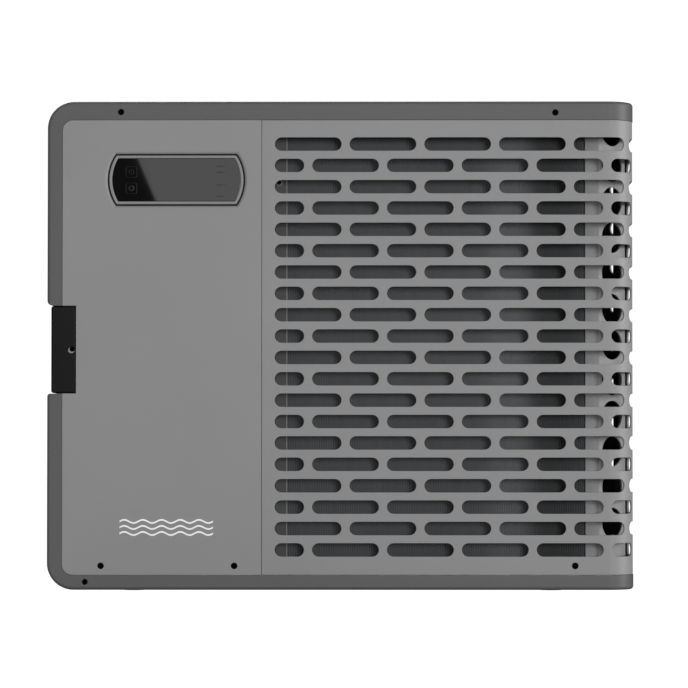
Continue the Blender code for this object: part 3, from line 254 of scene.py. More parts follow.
SHELL = powder_coat("shell_coat", (0.0735, 0.0735, 0.0737))
PANEL = powder_coat("panel_coat", (0.206, 0.206, 0.2065))
BEZEL = powder_coat("bezel_coat", (0.188, 0.188, 0.1885))
BLACK = moulded("black_moulding", (0.0065, 0.0065, 0.0066), roughness=0.46, gloss=0.10)
GREY = moulded("grey_moulding", (0.30, 0.30, 0.31), roughness=0.42, grain=700.0)
WHITE = moulded("white_pipe", (0.68, 0.68, 0.66), roughness=0.30, grain=220.0, depth=0.00005, spread=0.02)
COPPER = drawn_metal("drawn_copper", (0.70, 0.31, 0.18), roughness=0.30, spread=0.18)
BRASS = drawn_metal("machined_brass", (0.68, 0.48, 0.20), roughness=0.28, spread=0.10)
STEEL = drawn_metal("turned_steel", (0.50, 0.50, 0.51), roughness=0.26, spread=0.06)
ENAMEL = moulded("machine_enamel", (0.021, 0.021, 0.022), roughness=0.30, grain=260.0, depth=0.00008)
OXIDE = moulded(
    "black_oxide", (0.0016, 0.0016, 0.0017), roughness=0.60, grain=600.0, depth=0.00006, spread=0.10, gloss=0.02
)
ZINC = galvanised()
FINS = fin_coating()
LENS = display_lens()
PLATE = powder_coat("plate_coat", (0.0720, 0.0735, 0.0760), gloss=0.2)
POST = powder_coat("post_coat", (0.200, 0.200, 0.201))
BOARD = circuit_board()
RUBBER = rubber()
PRINT = moulded("white_print", (0.80, 0.80, 0.80), roughness=0.50, grain=1200.0, depth=0.00003, spread=0.01)
FAINT = moulded(
    "faint_symbol", (0.0050, 0.0050, 0.0053), roughness=0.35, grain=1200.0, depth=0.00001, spread=0.05, gloss=0.20
)


# ------------------------------------------------------------------ shape helpers
def arc(centre, radius, start, end, steps):
    """Points on a circle arc, angles in degrees, both ends included."""
    points = []
    for i in range(steps + 1):
        angle = math.radians(start + (end - start) * i / steps)
        points.append((centre[0] + radius * math.cos(angle), centre[1] + radius * math.sin(angle)))
    return points


def ring(centre, radius, steps=32):
    """A closed circle or, with few steps, a polygon."""
    return arc(centre, radius, 0, 360 - 360 / steps, steps - 1)


def rectangle(low, high):
    return [low, (high[0], low[1]), high, (low[0], high[1])]


def rounded(points, radius, steps=3, closed=True):
    """A polyline whose corners are replaced by small curves."""
    points = [Vector(point) for point in points]
    result = []
    for i, corner in enumerate(points):
        if not closed and i in (0, len(points) - 1):
            result.append(tuple(corner))
            continue
        before, after = points[i - 1], points[(i + 1) % len(points)]
        towards, away = before - corner, after - corner
        reach = min(radius, 0.45 * towards.length, 0.45 * away.length)
        start = corner + towards.normalized() * reach
        end = corner + away.normalized() * reach
        for k in range(steps + 1):
            t = k / steps
            result.append(tuple(start * (1 - t) ** 2 + corner * 2 * t * (1 - t) + end * t ** 2))
    return result


def add(name, bm, material, body=CASING, replaces=(), sharp=50, weighted=True):
    """Turns a bmesh in the row frame into a piece that rides on a body."""
    bmesh.ops.recalc_face_normals(bm, faces=bm.faces)
    mesh = bpy.data.meshes.new(name)
    bm.to_mesh(mesh)
    bm.free()
    mesh.shade_smooth()
    mesh.set_sharp_from_angle(angle=math.radians(sharp))
    mesh.materials.append(material)
    item = bpy.data.objects.new(name, mesh)
    SCENE.collection.objects.link(item)
    if weighted:
        item.modifiers.new("even_normals", "WEIGHTED_NORMAL").keep_sharp = True
    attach(item, body)
    if replaces:
        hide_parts(*replaces)
    return item


def bevelled(item, width):
    """Rounds the piece's sharp edges, ahead of any other modifier."""
    edge = item.modifiers.new("edge", "BEVEL")
    edge.limit_method, edge.angle_limit = "ANGLE", math.radians(50)
    edge.width, edge.segments = width, 2
    item.modifiers.move(len(item.modifiers) - 1, 0)


def tool(bm):
    """A hidden object for a boolean."""
    bmesh.ops.recalc_face_normals(bm, faces=bm.faces)
    mesh = bpy.data.meshes.new("tool")
    bm.to_mesh(mesh)
    bm.free()
    item = bpy.data.objects.new("tool", mesh)
    SCENE.collection.objects.link(item)
    return item


def carved(bm, *cutters):
    """The bmesh with the cutters taken out of it."""
    item = tool(bm)
    others = [tool(cutter) for cutter in cutters]
    for other in others:
        modifier = item.modifiers.new("cut", "BOOLEAN")
        modifier.operation, modifier.object = "DIFFERENCE", other
    depsgraph = bpy.context.evaluated_depsgraph_get()
    mesh = bpy.data.meshes.new_from_object(item.evaluated_get(depsgraph))
    result = bmesh.new()
    result.from_mesh(mesh)
    bpy.data.meshes.remove(mesh)
    for used in [item] + others:
        bpy.data.objects.remove(used, do_unlink=True)
    return result


def bevel(bm, edges, radius, segments):
    bmesh.ops.bevel(bm, geom=edges, offset=radius, segments=segments, profile=0.5, affect="EDGES")


def soften(bm, radius, segments=2):
    """Rounds every edge whose faces meet at more than the limit."""
    limit = math.radians(40)
    bevel(bm, [edge for edge in bm.edges if edge.calc_face_angle(0.0) > limit], radius, segments)


def block(low, high, edge=0.0, segments=2):
    bm = bmesh.new()
    low, high = Vector(low), Vector(high)
    bmesh.ops.create_cube(bm, size=1.0)
    bmesh.ops.scale(bm, vec=high - low, verts=bm.verts)
    bmesh.ops.translate(bm, vec=(low + high) / 2, verts=bm.verts)
    if edge:
        soften(bm, edge, segments)
    return bm


def round_edges(bm, along, radius, segments, keep):
    """Rounds the box edges that run along one axis and whose middle passes the keep test."""
    nearly = 0.999
    edges = []
    for edge in bm.edges:
        start, end = edge.verts[0].co, edge.verts[1].co
        if abs((end - start)[along]) > nearly * (end - start).length and keep((end + start) / 2):
            edges.append(edge)
    bevel(bm, edges, radius, segments)


def lathe(profile, steps, centre=(0, 0, 0), axis=(0, 0, 1), closed=False):
    """Turns (radius, height) points about an axis."""
    bm = bmesh.new()
    turn = Vector(axis).to_track_quat("Z", "Y").to_matrix()
    on_axis = 1e-6
    rings = []
    for radius, height in profile:
        verts = []
        for i in range(1 if radius < on_axis else steps):
            angle = 2 * math.pi * i / steps
            point = Vector((radius * math.cos(angle), radius * math.sin(angle), height))
            verts.append(bm.verts.new(Vector(centre) + turn @ point))
        rings.append(verts)
    pairs = list(zip(rings, rings[1:])) + ([(rings[-1], rings[0])] if closed else [])
    for upper, lower in pairs:
        for i in range(steps):
            corners = []
            for loop, k in ((upper, i), (upper, i + 1), (lower, i + 1), (lower, i)):
                vert = loop[k % len(loop)]
                if vert not in corners:
                    corners.append(vert)
            if len(corners) > 2:
                bm.faces.new(corners)
    return bm


def turned(profile, steps, at, closed=True):
    """The same about the front-to-rear line through a place, heights being y."""
    return lathe(profile, steps, (at.x, 0, at.z), TURN_Y, closed)


def merged(*parts):
    """Several bmeshes as one."""
    whole = bmesh.new()
    for part in parts:
        mesh = bpy.data.meshes.new("part")
        bmesh.ops.recalc_face_normals(part, faces=part.faces)
        part.to_mesh(mesh)
        part.free()
        whole.from_mesh(mesh)
        bpy.data.meshes.remove(mesh)
    return whole


def from_curve(curve):
    """The curve's surface as a bmesh, with its seams welded."""
    item = bpy.data.objects.new("curve", curve)
    SCENE.collection.objects.link(item)
    mesh = bpy.data.meshes.new_from_object(item.evaluated_get(bpy.context.evaluated_depsgraph_get()))
    bm = bmesh.new()
    bm.from_mesh(mesh)
    bmesh.ops.remove_doubles(bm, verts=bm.verts, dist=0.000001)
    bpy.data.meshes.remove(mesh)
    bpy.data.objects.remove(item, do_unlink=True)
    return bm


def plate(outline, holes, thickness, edge=SHEET_EDGE, resolution=1):
    """A flat plate in XY with holes and rounded edges, centred on z = 0."""
    curve = bpy.data.curves.new("plate", "CURVE")
    curve.dimensions, curve.fill_mode = "2D", "BOTH"
    curve.extrude = thickness / 2 - edge
    curve.bevel_depth, curve.bevel_resolution, curve.offset = edge, resolution, -edge
    for loop in [outline] + holes:
        spline = curve.splines.new("POLY")
        spline.points.add(len(loop) - 1)
        for point, (x, y) in zip(spline.points, loop):
            point.co = (x, y, 0.0, 1.0)
        spline.use_cyclic_u = True
    return from_curve(curve)


def upright(bm, front):
    """Stands a plate up so that its front face lies in the plane y = front."""
    bmesh.ops.transform(bm, matrix=Matrix.Rotation(math.pi / 2, 4, "X"), verts=bm.verts)
    nearest = min(vert.co.y for vert in bm.verts)
    bmesh.ops.translate(bm, vec=(0, front - nearest, 0), verts=bm.verts)
    return bm


def sliced(bm, stations):
    """Cuts the bmesh across x at each station, so that it can be bent there."""
    for station in stations:
        geom = list(bm.verts) + list(bm.edges) + list(bm.faces)
        bmesh.ops.bisect_plane(bm, geom=geom, plane_co=(station, 0, 0), plane_no=(1, 0, 0), dist=0.000002)


def rod(start, end, radius, resolution):
    """A round wire with capped ends."""
    curve = bpy.data.curves.new("rod", "CURVE")
    curve.dimensions, curve.bevel_depth, curve.bevel_resolution = "3D", radius, resolution
    curve.use_fill_caps = True
    spline = curve.splines.new("POLY")
    spline.points.add(1)
    for point, place in zip(spline.points, (start, end)):
        point.co = (*place, 1.0)
    return from_curve(curve)


# ------------------------------------------------------------------ casing
def shell_block(inset, left_round, right_round):
    low, high = Vector((LEFT, FRONT, BOTTOM)), Vector((RIGHT, REAR, TOP))
    step = Vector((inset, inset, inset))
    bm = block(low + step, high - step)
    round_edges(bm, 1, left_round, 14, lambda middle: middle.x < 0)
    round_edges(bm, 2, right_round, 14, lambda middle: middle.x > 0)
    return bm


def seat(x, z, face, shrink=0.0):
    """Countersink and hole for a front screw."""
    wide, narrow, bore = SCREW_SEAT - shrink, SCREW_HEAD - shrink, 0.0014
    above, step, floor, cone, end = 0.001, -0.0004, -0.0020, -0.0028, -0.012
    profile = [
        (0.0, above), (wide, above), (wide, 0.0), (narrow, step), (narrow, floor), (bore, cone), (bore, end),
        (0.0, end),
    ]
    return lathe(profile, 20, (x, face, z), (0, -1, 0))


def screw_place(node):
    low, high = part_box(node)
    off = GRIP_SCREW_OFF if node == "grip_screw" else 0.0
    return (low.x + high.x) / 2 + off, (low.z + high.z) / 2 - off


def casing_shell():
    bm = shell_block(0.0, SHELL_ROUND, PLAN_ROUND)
    soften(bm, EDGE_ROUND, 4)
    front_low = (LEFT + RIM_SIDE, FRONT - PAST, BOTTOM + RIM_BOTTOM)
    opening = block(front_low, (RIGHT + PAST, REAR + PAST, TOP - RIM_TOP))
    round_edges(opening, 1, RIM_ROUND, 10, lambda middle: middle.x < 0)
    margin, upper, lower = 0.0004, 0.0040, 0.0024  # the last two are the corners above and below the grip
    above, below, inner = GRIP_HIGH.z + margin, GRIP_LOW.z - margin, GRIP_HIGH.x + margin
    mouth = arc((LEFT + upper, above + upper), upper, 270, 180, 6)
    mouth += [(LEFT - PAST, above + upper), (LEFT - PAST, below - lower)]
    mouth += arc((LEFT + lower, below - lower), lower, 180, 90, 6)
    depth = GRIP_HIGH.y + margin - FRONT + PAST
    notch = upright(plate(mouth + [(inner, below), (inner, above)], [], depth, 0.0), FRONT - PAST)
    seats = [seat(*screw_place(name), FRONT) for name in ("top_screw_left", "top_screw_right", "bottom_screw")]
    reach, deep = 0.008, -0.03
    drain = lathe([(0.0, 0.0), (reach, 0.0), (reach, deep), (0.0, deep)], 32, (0.020, 0.020, 0.02))
    hollow = shell_block(WALL, SHELL_ROUND - WALL, PLAN_ROUND - WALL)
    bm = carved(bm, hollow, opening, notch, drain, *seats)
    bevelled(add("casing_shell", bm, SHELL, replaces=["outer_shell"]), 0.0004)


def left_outline(notched):
    right = SEAM_X - SEAM / 2
    radius = RIM_ROUND - PANEL_GAP
    lower = arc((PANEL_LEFT + radius, PANEL_LOW + radius), radius, 180, 270, 10)
    upper = arc((PANEL_LEFT + radius, PANEL_HIGH - radius), radius, 90, 180, 10)
    outline = lower + [(right, PANEL_LOW), (right, PANEL_HIGH)] + upper
    if notched:
        margin = 0.0003
        edge, above, below = GRIP_HIGH.x + margin, GRIP_HIGH.z + margin, GRIP_LOW.z - margin
        outline += [(PANEL_LEFT, above), (edge, above), (edge, below), (PANEL_LEFT, below)]
    return outline


def display_outline(shrink):
    """Flat top and bottom with bulged ends, the whole drawn in by an amount."""
    half_width, half_height = DISPLAY_WIDE - shrink, DISPLAY_TALL - shrink
    radius = (DISPLAY_TALL ** 2 + DISPLAY_BULGE ** 2) / (2 * DISPLAY_BULGE) - shrink
    reach = math.degrees(math.asin(half_height / radius))
    x, z = DISPLAY.x, DISPLAY.z
    right = arc((x + half_width - radius, z), radius, -reach, reach, 24)
    left = arc((x - half_width + radius, z), radius, 180 - reach, 180 + reach, 24)
    return rounded(right + left, DISPLAY_CORNER, 2)


def fold(x_low):
    """The edge of a front panel, folded back at the seam."""
    start, end, margin = PANEL_FACE + 0.0008, PANEL_FACE + 0.010, 0.004
    return block((x_low, start, PANEL_LOW + margin), (x_low + SHEET, end, PANEL_HIGH - margin), FOLD_EDGE)


def left_panels():
    seats = [ring(screw_place(name), SCREW_SEAT, 20) for name in ("panel_screw_left", "panel_screw_right")]
    window = display_outline(0.0001 - LIP_REACH)
    bm = upright(plate(left_outline(True), [window] + seats, SHEET, 0.00005), PANEL_FACE)
    skin = merged(bm, fold(SEAM_X - SEAM / 2 - SHEET), rolled_lip())
    add("left_panel_skin", skin, PANEL, replaces=["front_left_panel"])
    union_hole, gland_hole = 0.022, 0.0083
    holes = [
        ring((INLET.x, INLET.z), union_hole, 48),
        ring((OUTLET.x, OUTLET.z), union_hole, 48),
        ring((GLAND.x, GLAND.z), gland_hole, 32),
    ]
    bm = upright(plate(left_outline(False), holes, SHEET), REAR_FACE - SHEET)
    add("rear_left_skin", bm, PANEL, replaces=["rear_left_panel"])


def slot_outline(left, length, height):
    radius = SLOT_HEIGHT / 2
    right_end = arc((left + length - radius, height), radius, -90, 90, 10)
    return right_end + arc((left + radius, height), radius, 90, 270, 10)


def front_slots():
    outlines = []
    for row in range(ROWS):
        left = SLOT_START
        for length in ROW_ODD if row % 2 else ROW_EVEN:
            outlines.append(slot_outline(left, length, ROW_LOW + row * ROW_PITCH))
            left += length + SLOT_BAR
    return outlines


def wrapped(holes, side_length):
    """A plate bent round the right front corner: along the front, round the corner and along the side."""
    start = SEAM_X + SEAM / 2
    radius = PLAN_ROUND - (PANEL_FACE - FRONT)
    turn_start = RIGHT - PLAN_ROUND
    turn_end = turn_start + radius * math.pi / 2
    end = turn_end + side_length
    bm = upright(plate(rectangle((start, PANEL_LOW), (end, PANEL_HIGH)), holes, SHEET), 0.0)
    steps = 18
    sliced(bm, [turn_start + (turn_end - turn_start) * i / steps for i in range(steps + 1)])
    centre = Vector((turn_start, PANEL_FACE + radius))
    for vert in bm.verts:
        length, depth = vert.co.x, vert.co.y
        if length <= turn_start:
            vert.co.y = PANEL_FACE + depth
        elif length < turn_end:
            angle = (length - turn_start) / radius
            vert.co.x = centre.x + (radius - depth) * math.sin(angle)
            vert.co.y = centre.y - (radius - depth) * math.cos(angle)
        else:
            vert.co.x = centre.x + radius - depth
            vert.co.y = centre.y + length - turn_end
    return bm


def right_panels():
    corner_y = FRONT + PLAN_ROUND
    screw_seat = ring(screw_place("grille_screw"), SCREW_SEAT, 20)
    bm = wrapped(front_slots() + [screw_seat], SIDE_SEAM_Y - SEAM / 2 - corner_y)
    skin = merged(bm, fold(SEAM_X + SEAM / 2))
    add("grille_skin", skin, PANEL, replaces=["front_grille"])
    outlet = ring((FAN.x, FAN.z), THROAT_RADIUS, 96)
    heights = [ROW_LOW + row * ROW_PITCH for row in range(0, ROWS, 2)]
    slots = [slot_outline(REAR_SLOT_START, REAR_SLOT_LENGTH, height) for height in heights]
    bm = wrapped(slots + [outlet], FRONT + REAR - corner_y - SIDE_SEAM_Y - SEAM / 2)
    for vert in bm.verts:
        vert.co.y = FRONT + REAR - vert.co.y
    add("rear_right_skin", bm, PANEL, replaces=["rear_right_panel"])


def side_grip():
    """Block with a cup for the fingers, a lip inside it and a screw with a light crescent at its seat: a grey
    piece that paints the highlight on the lit countersink.
    """
    low, high = GRIP_LOW, GRIP_HIGH
    body = block(low, high)
    round_edges(body, 1, 0.0018, 4, lambda middle: middle.x < (low.x + high.x) / 2)
    soften(body, 0.0013, 3)
    inner = high.x - GRIP_WALL
    front, rear, floor, roof = 0.016, 0.012, 0.009, 0.0125
    cup_low, cup_high = (low.x - PAST, low.y + front, low.z + floor), (inner, high.y - rear, high.z - roof)
    left, front, rear, floor, roof = 0.005, 0.018, 0.014, 0.020, 0.0050
    lip_low, lip_high = (low.x + left, low.y + front, high.z - floor), (inner, high.y - rear, high.z - roof)
    x, z = screw_place("grip_screw")
    cup, lip = block(cup_low, cup_high, 0.0035, 4), block(lip_low, lip_high, 0.001)
    body = carved(body, cup, lip, seat(x, z, low.y, GRIP_SCREW_LESS))
    # Painted highlight: an off-centre grey crescent beside the screw stands in for light on the countersink's
    # lower left wall.
    outer, hole, off_x, off_z, stands_out = 0.0023, 0.0020, 0.0007, 0.0009, 0.0001
    painted_glint = arc((x - off_x, z - off_z), outer, 112, 352, 24) + arc((x, z), hole, 322, 142, 18)
    painted_glint = upright(plate(painted_glint, [], 0.0006, 0.00005), low.y - stands_out)
    add("grip_screw_painted_glint", painted_glint, BEZEL)
    bevelled(add("grip_moulding", body, BLACK, replaces=["side_grip"]), 0.0005)


def screws():
    """Countersunk heads with a cross recess."""
    for node, face in (
        ("top_screw_left", FRONT),
        ("top_screw_right", FRONT),
        ("bottom_screw", FRONT),
        ("panel_screw_left", PANEL_FACE),
        ("panel_screw_right", PANEL_FACE),
        ("grille_screw", PANEL_FACE),
        ("grip_screw", GRIP_LOW.y),
    ):
        x, z = screw_place(node)
        place = (x, face + SCREW_SUNK, z)
        wide = SCREW_HEAD - 0.0001 - (GRIP_SCREW_LESS if node == "grip_screw" else 0.0)
        shank, cone, tip, end = 0.0012, -0.0009, -0.0095, -0.0098
        head = [(0.0, 0.0), (wide, 0.0), (shank, cone), (shank, tip), (0.0, end)]
        body = lathe(rounded(head, 0.0002, 2, False), 24, place, (0, -1, 0))
        cross = []
        for angle in (45, 135):
            arm = block((-0.0012, -0.0002, -0.0003), (0.0012, 0.0009, 0.0003))
            turn = Matrix.Rotation(math.radians(angle), 4, "Y")
            bmesh.ops.transform(arm, matrix=Matrix.Translation(place) @ turn, verts=arm.verts)
            cross.append(arm)
        add(node + "_head", carved(body, *cross), OXIDE, replaces=[node], sharp=30)


def rolled_lip():
    """The panel's edge round the display, rolled in towards the groove."""
    roll = (
        (LIP_REACH, 0.0), (0.0012, 0.00008), (0.0006, 0.00035), (0.0, 0.0010), (0.0, SHEET), (LIP_REACH, SHEET),
    )
    bm = bmesh.new()
    loops = []
    for reach, depth in roll:
        loops.append([bm.verts.new((x, PANEL_FACE + depth, z)) for x, z in display_outline(-reach)])
    count = len(loops[0])
    for outer, inner in zip(loops, loops[1:] + loops[:1]):
        for i in range(count):
            bm.faces.new((outer[i], outer[(i + 1) % count], inner[(i + 1) % count], inner[i]))
    return bm


def display():
    """Surround and lens in a groove, with a black gasket behind the groove that paints the groove's shade."""
    groove, rim, fit = 0.0012, 0.0021, 0.00004
    thick, lens_thick, lens_in = 0.0060, 0.0020, 0.0003
    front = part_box("display_bezel")[0].y
    surround = plate(display_outline(groove), [display_outline(groove + rim)], thick, 0.0004, 2)
    add("display_surround", upright(surround, front), BEZEL, replaces=["display_bezel"])
    # A black sheet behind the groove, put there to paint the groove's shade.
    shade_gasket = plate(display_outline(-0.0030), [display_outline(groove + fit / 2)], 0.0012)
    add("display_painted_shade_gasket", upright(shade_gasket, PANEL_FACE + SHEET + 0.0001), BLACK)
    face = front + lens_in
    lens = upright(plate(display_outline(groove + rim + fit), [], lens_thick), face)
    add("display_lens", lens, LENS, replaces=["display_glass"])
    symbols = upright(symbol_print(), face - 0.00003)
    add("display_symbols", symbols, FAINT, weighted=False)


def symbol_print():
    """A power symbol and a gear in rounded frames at the left, and four short bars at the right."""
    x, upper, lower = DISPLAY.x - 0.0338, DISPLAY.z + 0.0060, DISPLAY.z - 0.0063
    half, line, power, hub, root, tooth = 0.0042, 0.0003, 0.0020, 0.0012, 0.0019, 0.0024
    shapes = []
    for z in (upper, lower):
        outer, inner = [
            rounded(rectangle((x - size, z - size), (x + size, z + size)), corner)
            for size, corner in ((half, 0.0014), (half - line, 0.0012))
        ]
        shapes.append((outer, [inner]))
    gap = arc((x, upper), power, 120, 420, 20) + arc((x, upper), power - 0.0004, 420, 120, 20)
    stroke = rectangle((x - 0.0002, upper), (x + 0.0002, upper + 0.0024))
    gear = []
    for i in range(24):
        reach, angle = tooth if i % 3 else root, math.pi * i / 12
        gear.append((x + reach * math.cos(angle), lower + reach * math.sin(angle)))
    shapes += [(gap, []), (stroke, []), (gear, [ring((x, lower), hub, 16)])]
    left, length, thick = DISPLAY.x + 0.0300, 0.0070, 0.0004
    for z in (0.0100, 0.0055, -0.0040, -0.0125):
        shapes.append((rectangle((left, DISPLAY.z + z), (left + length, DISPLAY.z + z + thick)), []))
    return merged(*[plate(outline, holes, 0.00006, 0.00001) for outline, holes in shapes])


def front_mark():
    """A plain mark of three level waves, printed at the lower left of the panel."""
    left, low, length, pitch, thick = -0.1655, 0.0452, 0.0700, 0.0045, 0.0013
    waves, swing, steps = 5, 0.0012, 96
    strips = []
    for row in range(3):
        line = []
        for i in range(steps + 1):
            z = swing * math.sin(2 * math.pi * waves * i / steps)
            line.append((left + length * i / steps, low + row * pitch + z))
        outline = [(x, z + thick / 2) for x, z in line] + [(x, z - thick / 2) for x, z in line[::-1]]
        strips.append(plate(outline, [], 0.00008, 0.00001))
    add("front_mark", upright(merged(*strips), PANEL_FACE - 0.00004), PRINT, weighted=False)


# ------------------------------------------------------------------ behind the grille
def coil():
    """Upright coated fins round a core."""
    low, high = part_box("evaporator_core")
    inset, left, right = 0.0003, 0.001, 0.0008
    core_low, core_high = (low.x + left, low.y + inset, low.z), (high.x + right, high.y - inset, high.z)
    parts = [block(core_low, core_high, 0.0002, 1)]
    pitch, thick = 0.0013, 0.0007
    count = int((high.x - low.x) / pitch)
    for i in range(count):
        x = low.x + (i + 0.5) * (high.x - low.x) / count
        parts.append(block((x - thick / 2, low.y, low.z), (x + thick / 2, high.y, high.z)))
    add("coil_fins", merged(*parts), FINS, replaces=["evaporator_core"], weighted=False)


def end_plate():
    """Folded plate at the coil's left end, with a light strip along its flange's edge that paints the highlight
    there, and two screws in its front flange.
    """
    low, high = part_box("evaporator_end_plate")
    web = block((low.x, low.y, low.z), (low.x + SHEET, high.y, high.z), FOLD_EDGE)
    front = block((low.x, low.y, low.z), (high.x, low.y + SHEET, high.z), FOLD_EDGE)
    back = block((low.x, high.y - SHEET, low.z), (high.x, high.y, high.z), FOLD_EDGE)
    add("end_plate_fold", merged(web, front, back), PLATE, replaces=["evaporator_end_plate"])
    # A light grey strip along the flange's right edge: a painted highlight on the fold.
    highlight_strip, proud = 0.0006, 0.0001
    bm = block((high.x - highlight_strip, low.y - proud, low.z), (high.x + proud, low.y + SHEET, high.z), 0.0002)
    add("end_plate_painted_highlight", bm, PANEL)
    heads, washers = [], []
    inner, outer = 0.0017, 0.0024
    head = [(0.0, 0.0012), (0.0012, 0.0011), (inner, 0.0), (0.0, 0.0)]
    washer = [(inner, 0.0), (outer, 0.0), (outer - 0.0001, 0.0004), (inner, 0.0004)]
    for z in (0.3096, 0.1846):
        centre = (low.x + 0.0040, low.y, z)
        heads.append(lathe(head, 20, centre, (0, -1, 0)))
        washers.append(lathe(washer, 24, centre, (0, -1, 0), closed=True))
    add("end_plate_screws", merged(*heads), OXIDE)
    add("end_plate_washers", merged(*washers), PANEL)


def corner_post():
    """A front flange, a slanted web with a column of round holes and a side flange, from one sheet."""
    low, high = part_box("corner_post")
    flange, slant, bend = 0.0105, 0.021, 0.0008
    lowest, pitch, radius, count = 0.0524, 0.027, 0.0114, 12
    path = [(low.x, low.y), (low.x + flange, low.y), (high.x, low.y + slant), (high.x, high.y)]
    path = [Vector(point) for point in path]
    runs = [after - before for before, after in zip(path, path[1:])]
    stations = [0.0]
    for run in runs:
        stations.append(stations[-1] + run.length)
    middle = (stations[1] + stations[2]) / 2
    holes = [ring((middle, lowest + i * pitch), radius, 40) for i in range(count)]
    bm = upright(plate(rectangle((0, low.z), (stations[-1], high.z)), holes, SHEET), 0.0)
    sliced(bm, [station + shift for station in stations[1:-1] for shift in (-bend, bend)])
    sides = [Vector((-run.y, run.x)).normalized() for run in runs]
    for vert in bm.verts:
        index = 0
        while index < 2 and vert.co.x > stations[index + 1]:
            index += 1
        part = (vert.co.x - stations[index]) / runs[index].length
        side = sides[index]
        for joint in (1, 2):
            if abs(vert.co.x - stations[joint]) < bend + 0.0001:
                side = (sides[joint - 1] + sides[joint]).normalized()
        place = path[index].lerp(path[index + 1], part) + side * vert.co.y
        vert.co.x, vert.co.y = place.x, place.y
    add("corner_post_fold", bm, POST, replaces=["corner_post"])


# ------------------------------------------------------------------ fan side
def guard():
    """Welded wire guard on four feet."""
    low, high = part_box("fan_guard")
    wire, first, pitch, count = 0.0012, 0.018, 0.0087, 13
    plane = high.y - wire - 0.0006
    parts = []
    for i in range(count):
        section = ring((first + pitch * i, 0.0), wire, 8)
        parts.append(lathe(section, 72, (FAN.x, plane, FAN.z), TURN_Y, closed=True))
    angles = [math.radians(45 + 90 * index) for index in range(4)]
    for angle in angles:
        ends = [
            (FAN.x + reach * math.cos(angle), plane - 2 * wire + 0.0003, FAN.z + reach * math.sin(angle))
            for reach in (0.0175, 0.1225)
        ]
        parts.append(rod(*ends, wire, 3))
    for angle in angles:
        foot = block((0.1195, low.y, -0.005), (0.1285, high.y - 0.0010, 0.005), 0.0008, 3)
        place = Matrix.Translation((FAN.x, 0, FAN.z)) @ Matrix.Rotation(angle, 4, "Y")
        bmesh.ops.transform(foot, matrix=place, verts=foot.verts)
        parts.append(foot)
    add("fan_guard_wires", merged(*parts), BLACK, replaces=["fan_guard"], weighted=False)


def shroud():
    """A ring with a flange behind it and a flared mouth at its front."""
    back, flange = REAR_FACE - SHEET - 0.0003, 0.002
    inner, outer = THROAT_RADIUS, THROAT_RADIUS + 0.002
    profile = [
        (inner + 0.006, back), (inner + 0.006, back - flange), (outer, back - flange - 0.001), (outer, 0.042),
        (inner + 0.007, 0.034), (inner + 0.005, 0.033), (inner, 0.041), (inner, back),
    ]
    bm = turned(rounded(profile, 0.0008), 96, FAN)
    add("shroud_ring", bm, BLACK, replaces=["fan_shroud"])


def blade(turn, inner, outer, front, back):
    """One pitched blade, thick in the middle and thin at its edges."""
    out_steps, across_steps, thick, margin = 18, 12, 0.0018, 0.003
    sweep, root_half, widens = 10, 17, 9  # degrees
    grid = []
    for i in range(out_steps + 1):
        out = i / out_steps
        radius = inner + (outer - inner) * out
        row = []
        for j in range(across_steps + 1):
            across = j / across_steps
            angle = math.radians(turn + sweep * out * out + (root_half + widens * out) * (2 * across - 1))
            rise = front + margin * (1 + math.sin(math.pi * across)) + (back - front - 2 * margin) * across
            row.append(Vector((radius * math.cos(angle), rise, radius * math.sin(angle))))
        grid.append(row)
    bm = bmesh.new()
    sides = []
    for sign in (1, -1):
        side = []
        for i, row in enumerate(grid):
            line = []
            for j, point in enumerate(row):
                along = grid[min(i + 1, out_steps)][j] - grid[max(i - 1, 0)][j]
                over = grid[i][min(j + 1, across_steps)] - grid[i][max(j - 1, 0)]
                normal = along.cross(over).normalized()
                edge = min(j, across_steps - j, out_steps - i) / 2
                half = thick / 2 * (0.25 + 0.75 * min(1.0, edge) ** 0.5)
                line.append(bm.verts.new(point + normal * half * sign))
            side.append(line)
        sides.append(side)
    for side in sides:
        for i in range(out_steps):
            for j in range(across_steps):
                bm.faces.new((side[i][j], side[i][j + 1], side[i + 1][j + 1], side[i + 1][j]))
    border = [(i, 0) for i in range(out_steps)] + [(out_steps, j) for j in range(across_steps)]
    border += [(i, across_steps) for i in range(out_steps, 0, -1)]
    border += [(0, j) for j in range(across_steps, 0, -1)]
    for (i1, j1), (i2, j2) in zip(border, border[1:] + border[:1]):
        bm.faces.new((sides[0][i1][j1], sides[0][i2][j2], sides[1][i2][j2], sides[1][i1][j1]))
    bmesh.ops.translate(bm, vec=(FAN.x, 0, FAN.z), verts=bm.verts)
    return bm


def impeller():
    front, back, bore = 0.046, 0.080, 0.0043
    outer, inner, boss, web = 0.030, 0.0270, 0.0100, back - 0.004
    hub = [
        (bore, back), (0.026, back), (outer, web), (outer, front), (inner, front), (inner, back - 0.006),
        (boss, web), (boss, front), (bore, front),
    ]
    parts = [turned(rounded(hub, 0.0010), 72, FAN)]
    parts += [blade(72 * i, 0.0285, 0.112, front, back) for i in range(5)]
    add("fan_blades", merged(*parts), BLACK, "fan", ["fan_impeller"], weighted=False)
    low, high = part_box("impeller_nut")
    centre = (FAN.x, FAN.z)
    bm = plate(ring(centre, 0.008, 6), [ring(centre, bore, 24)], high.y - low.y, 0.0004, 2)
    add("impeller_hex_nut", upright(bm, low.y), STEEL, "fan", ["impeller_nut"])
    low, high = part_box("motor_shaft")
    bar = [(0.0, high.y), (0.004, high.y), (0.004, low.y), (0.0, low.y)]
    bm = turned(rounded(bar, 0.0006, closed=False), 32, FAN, closed=False)
    add("motor_shaft_bar", bm, STEEL, "fan", ["motor_shaft"])


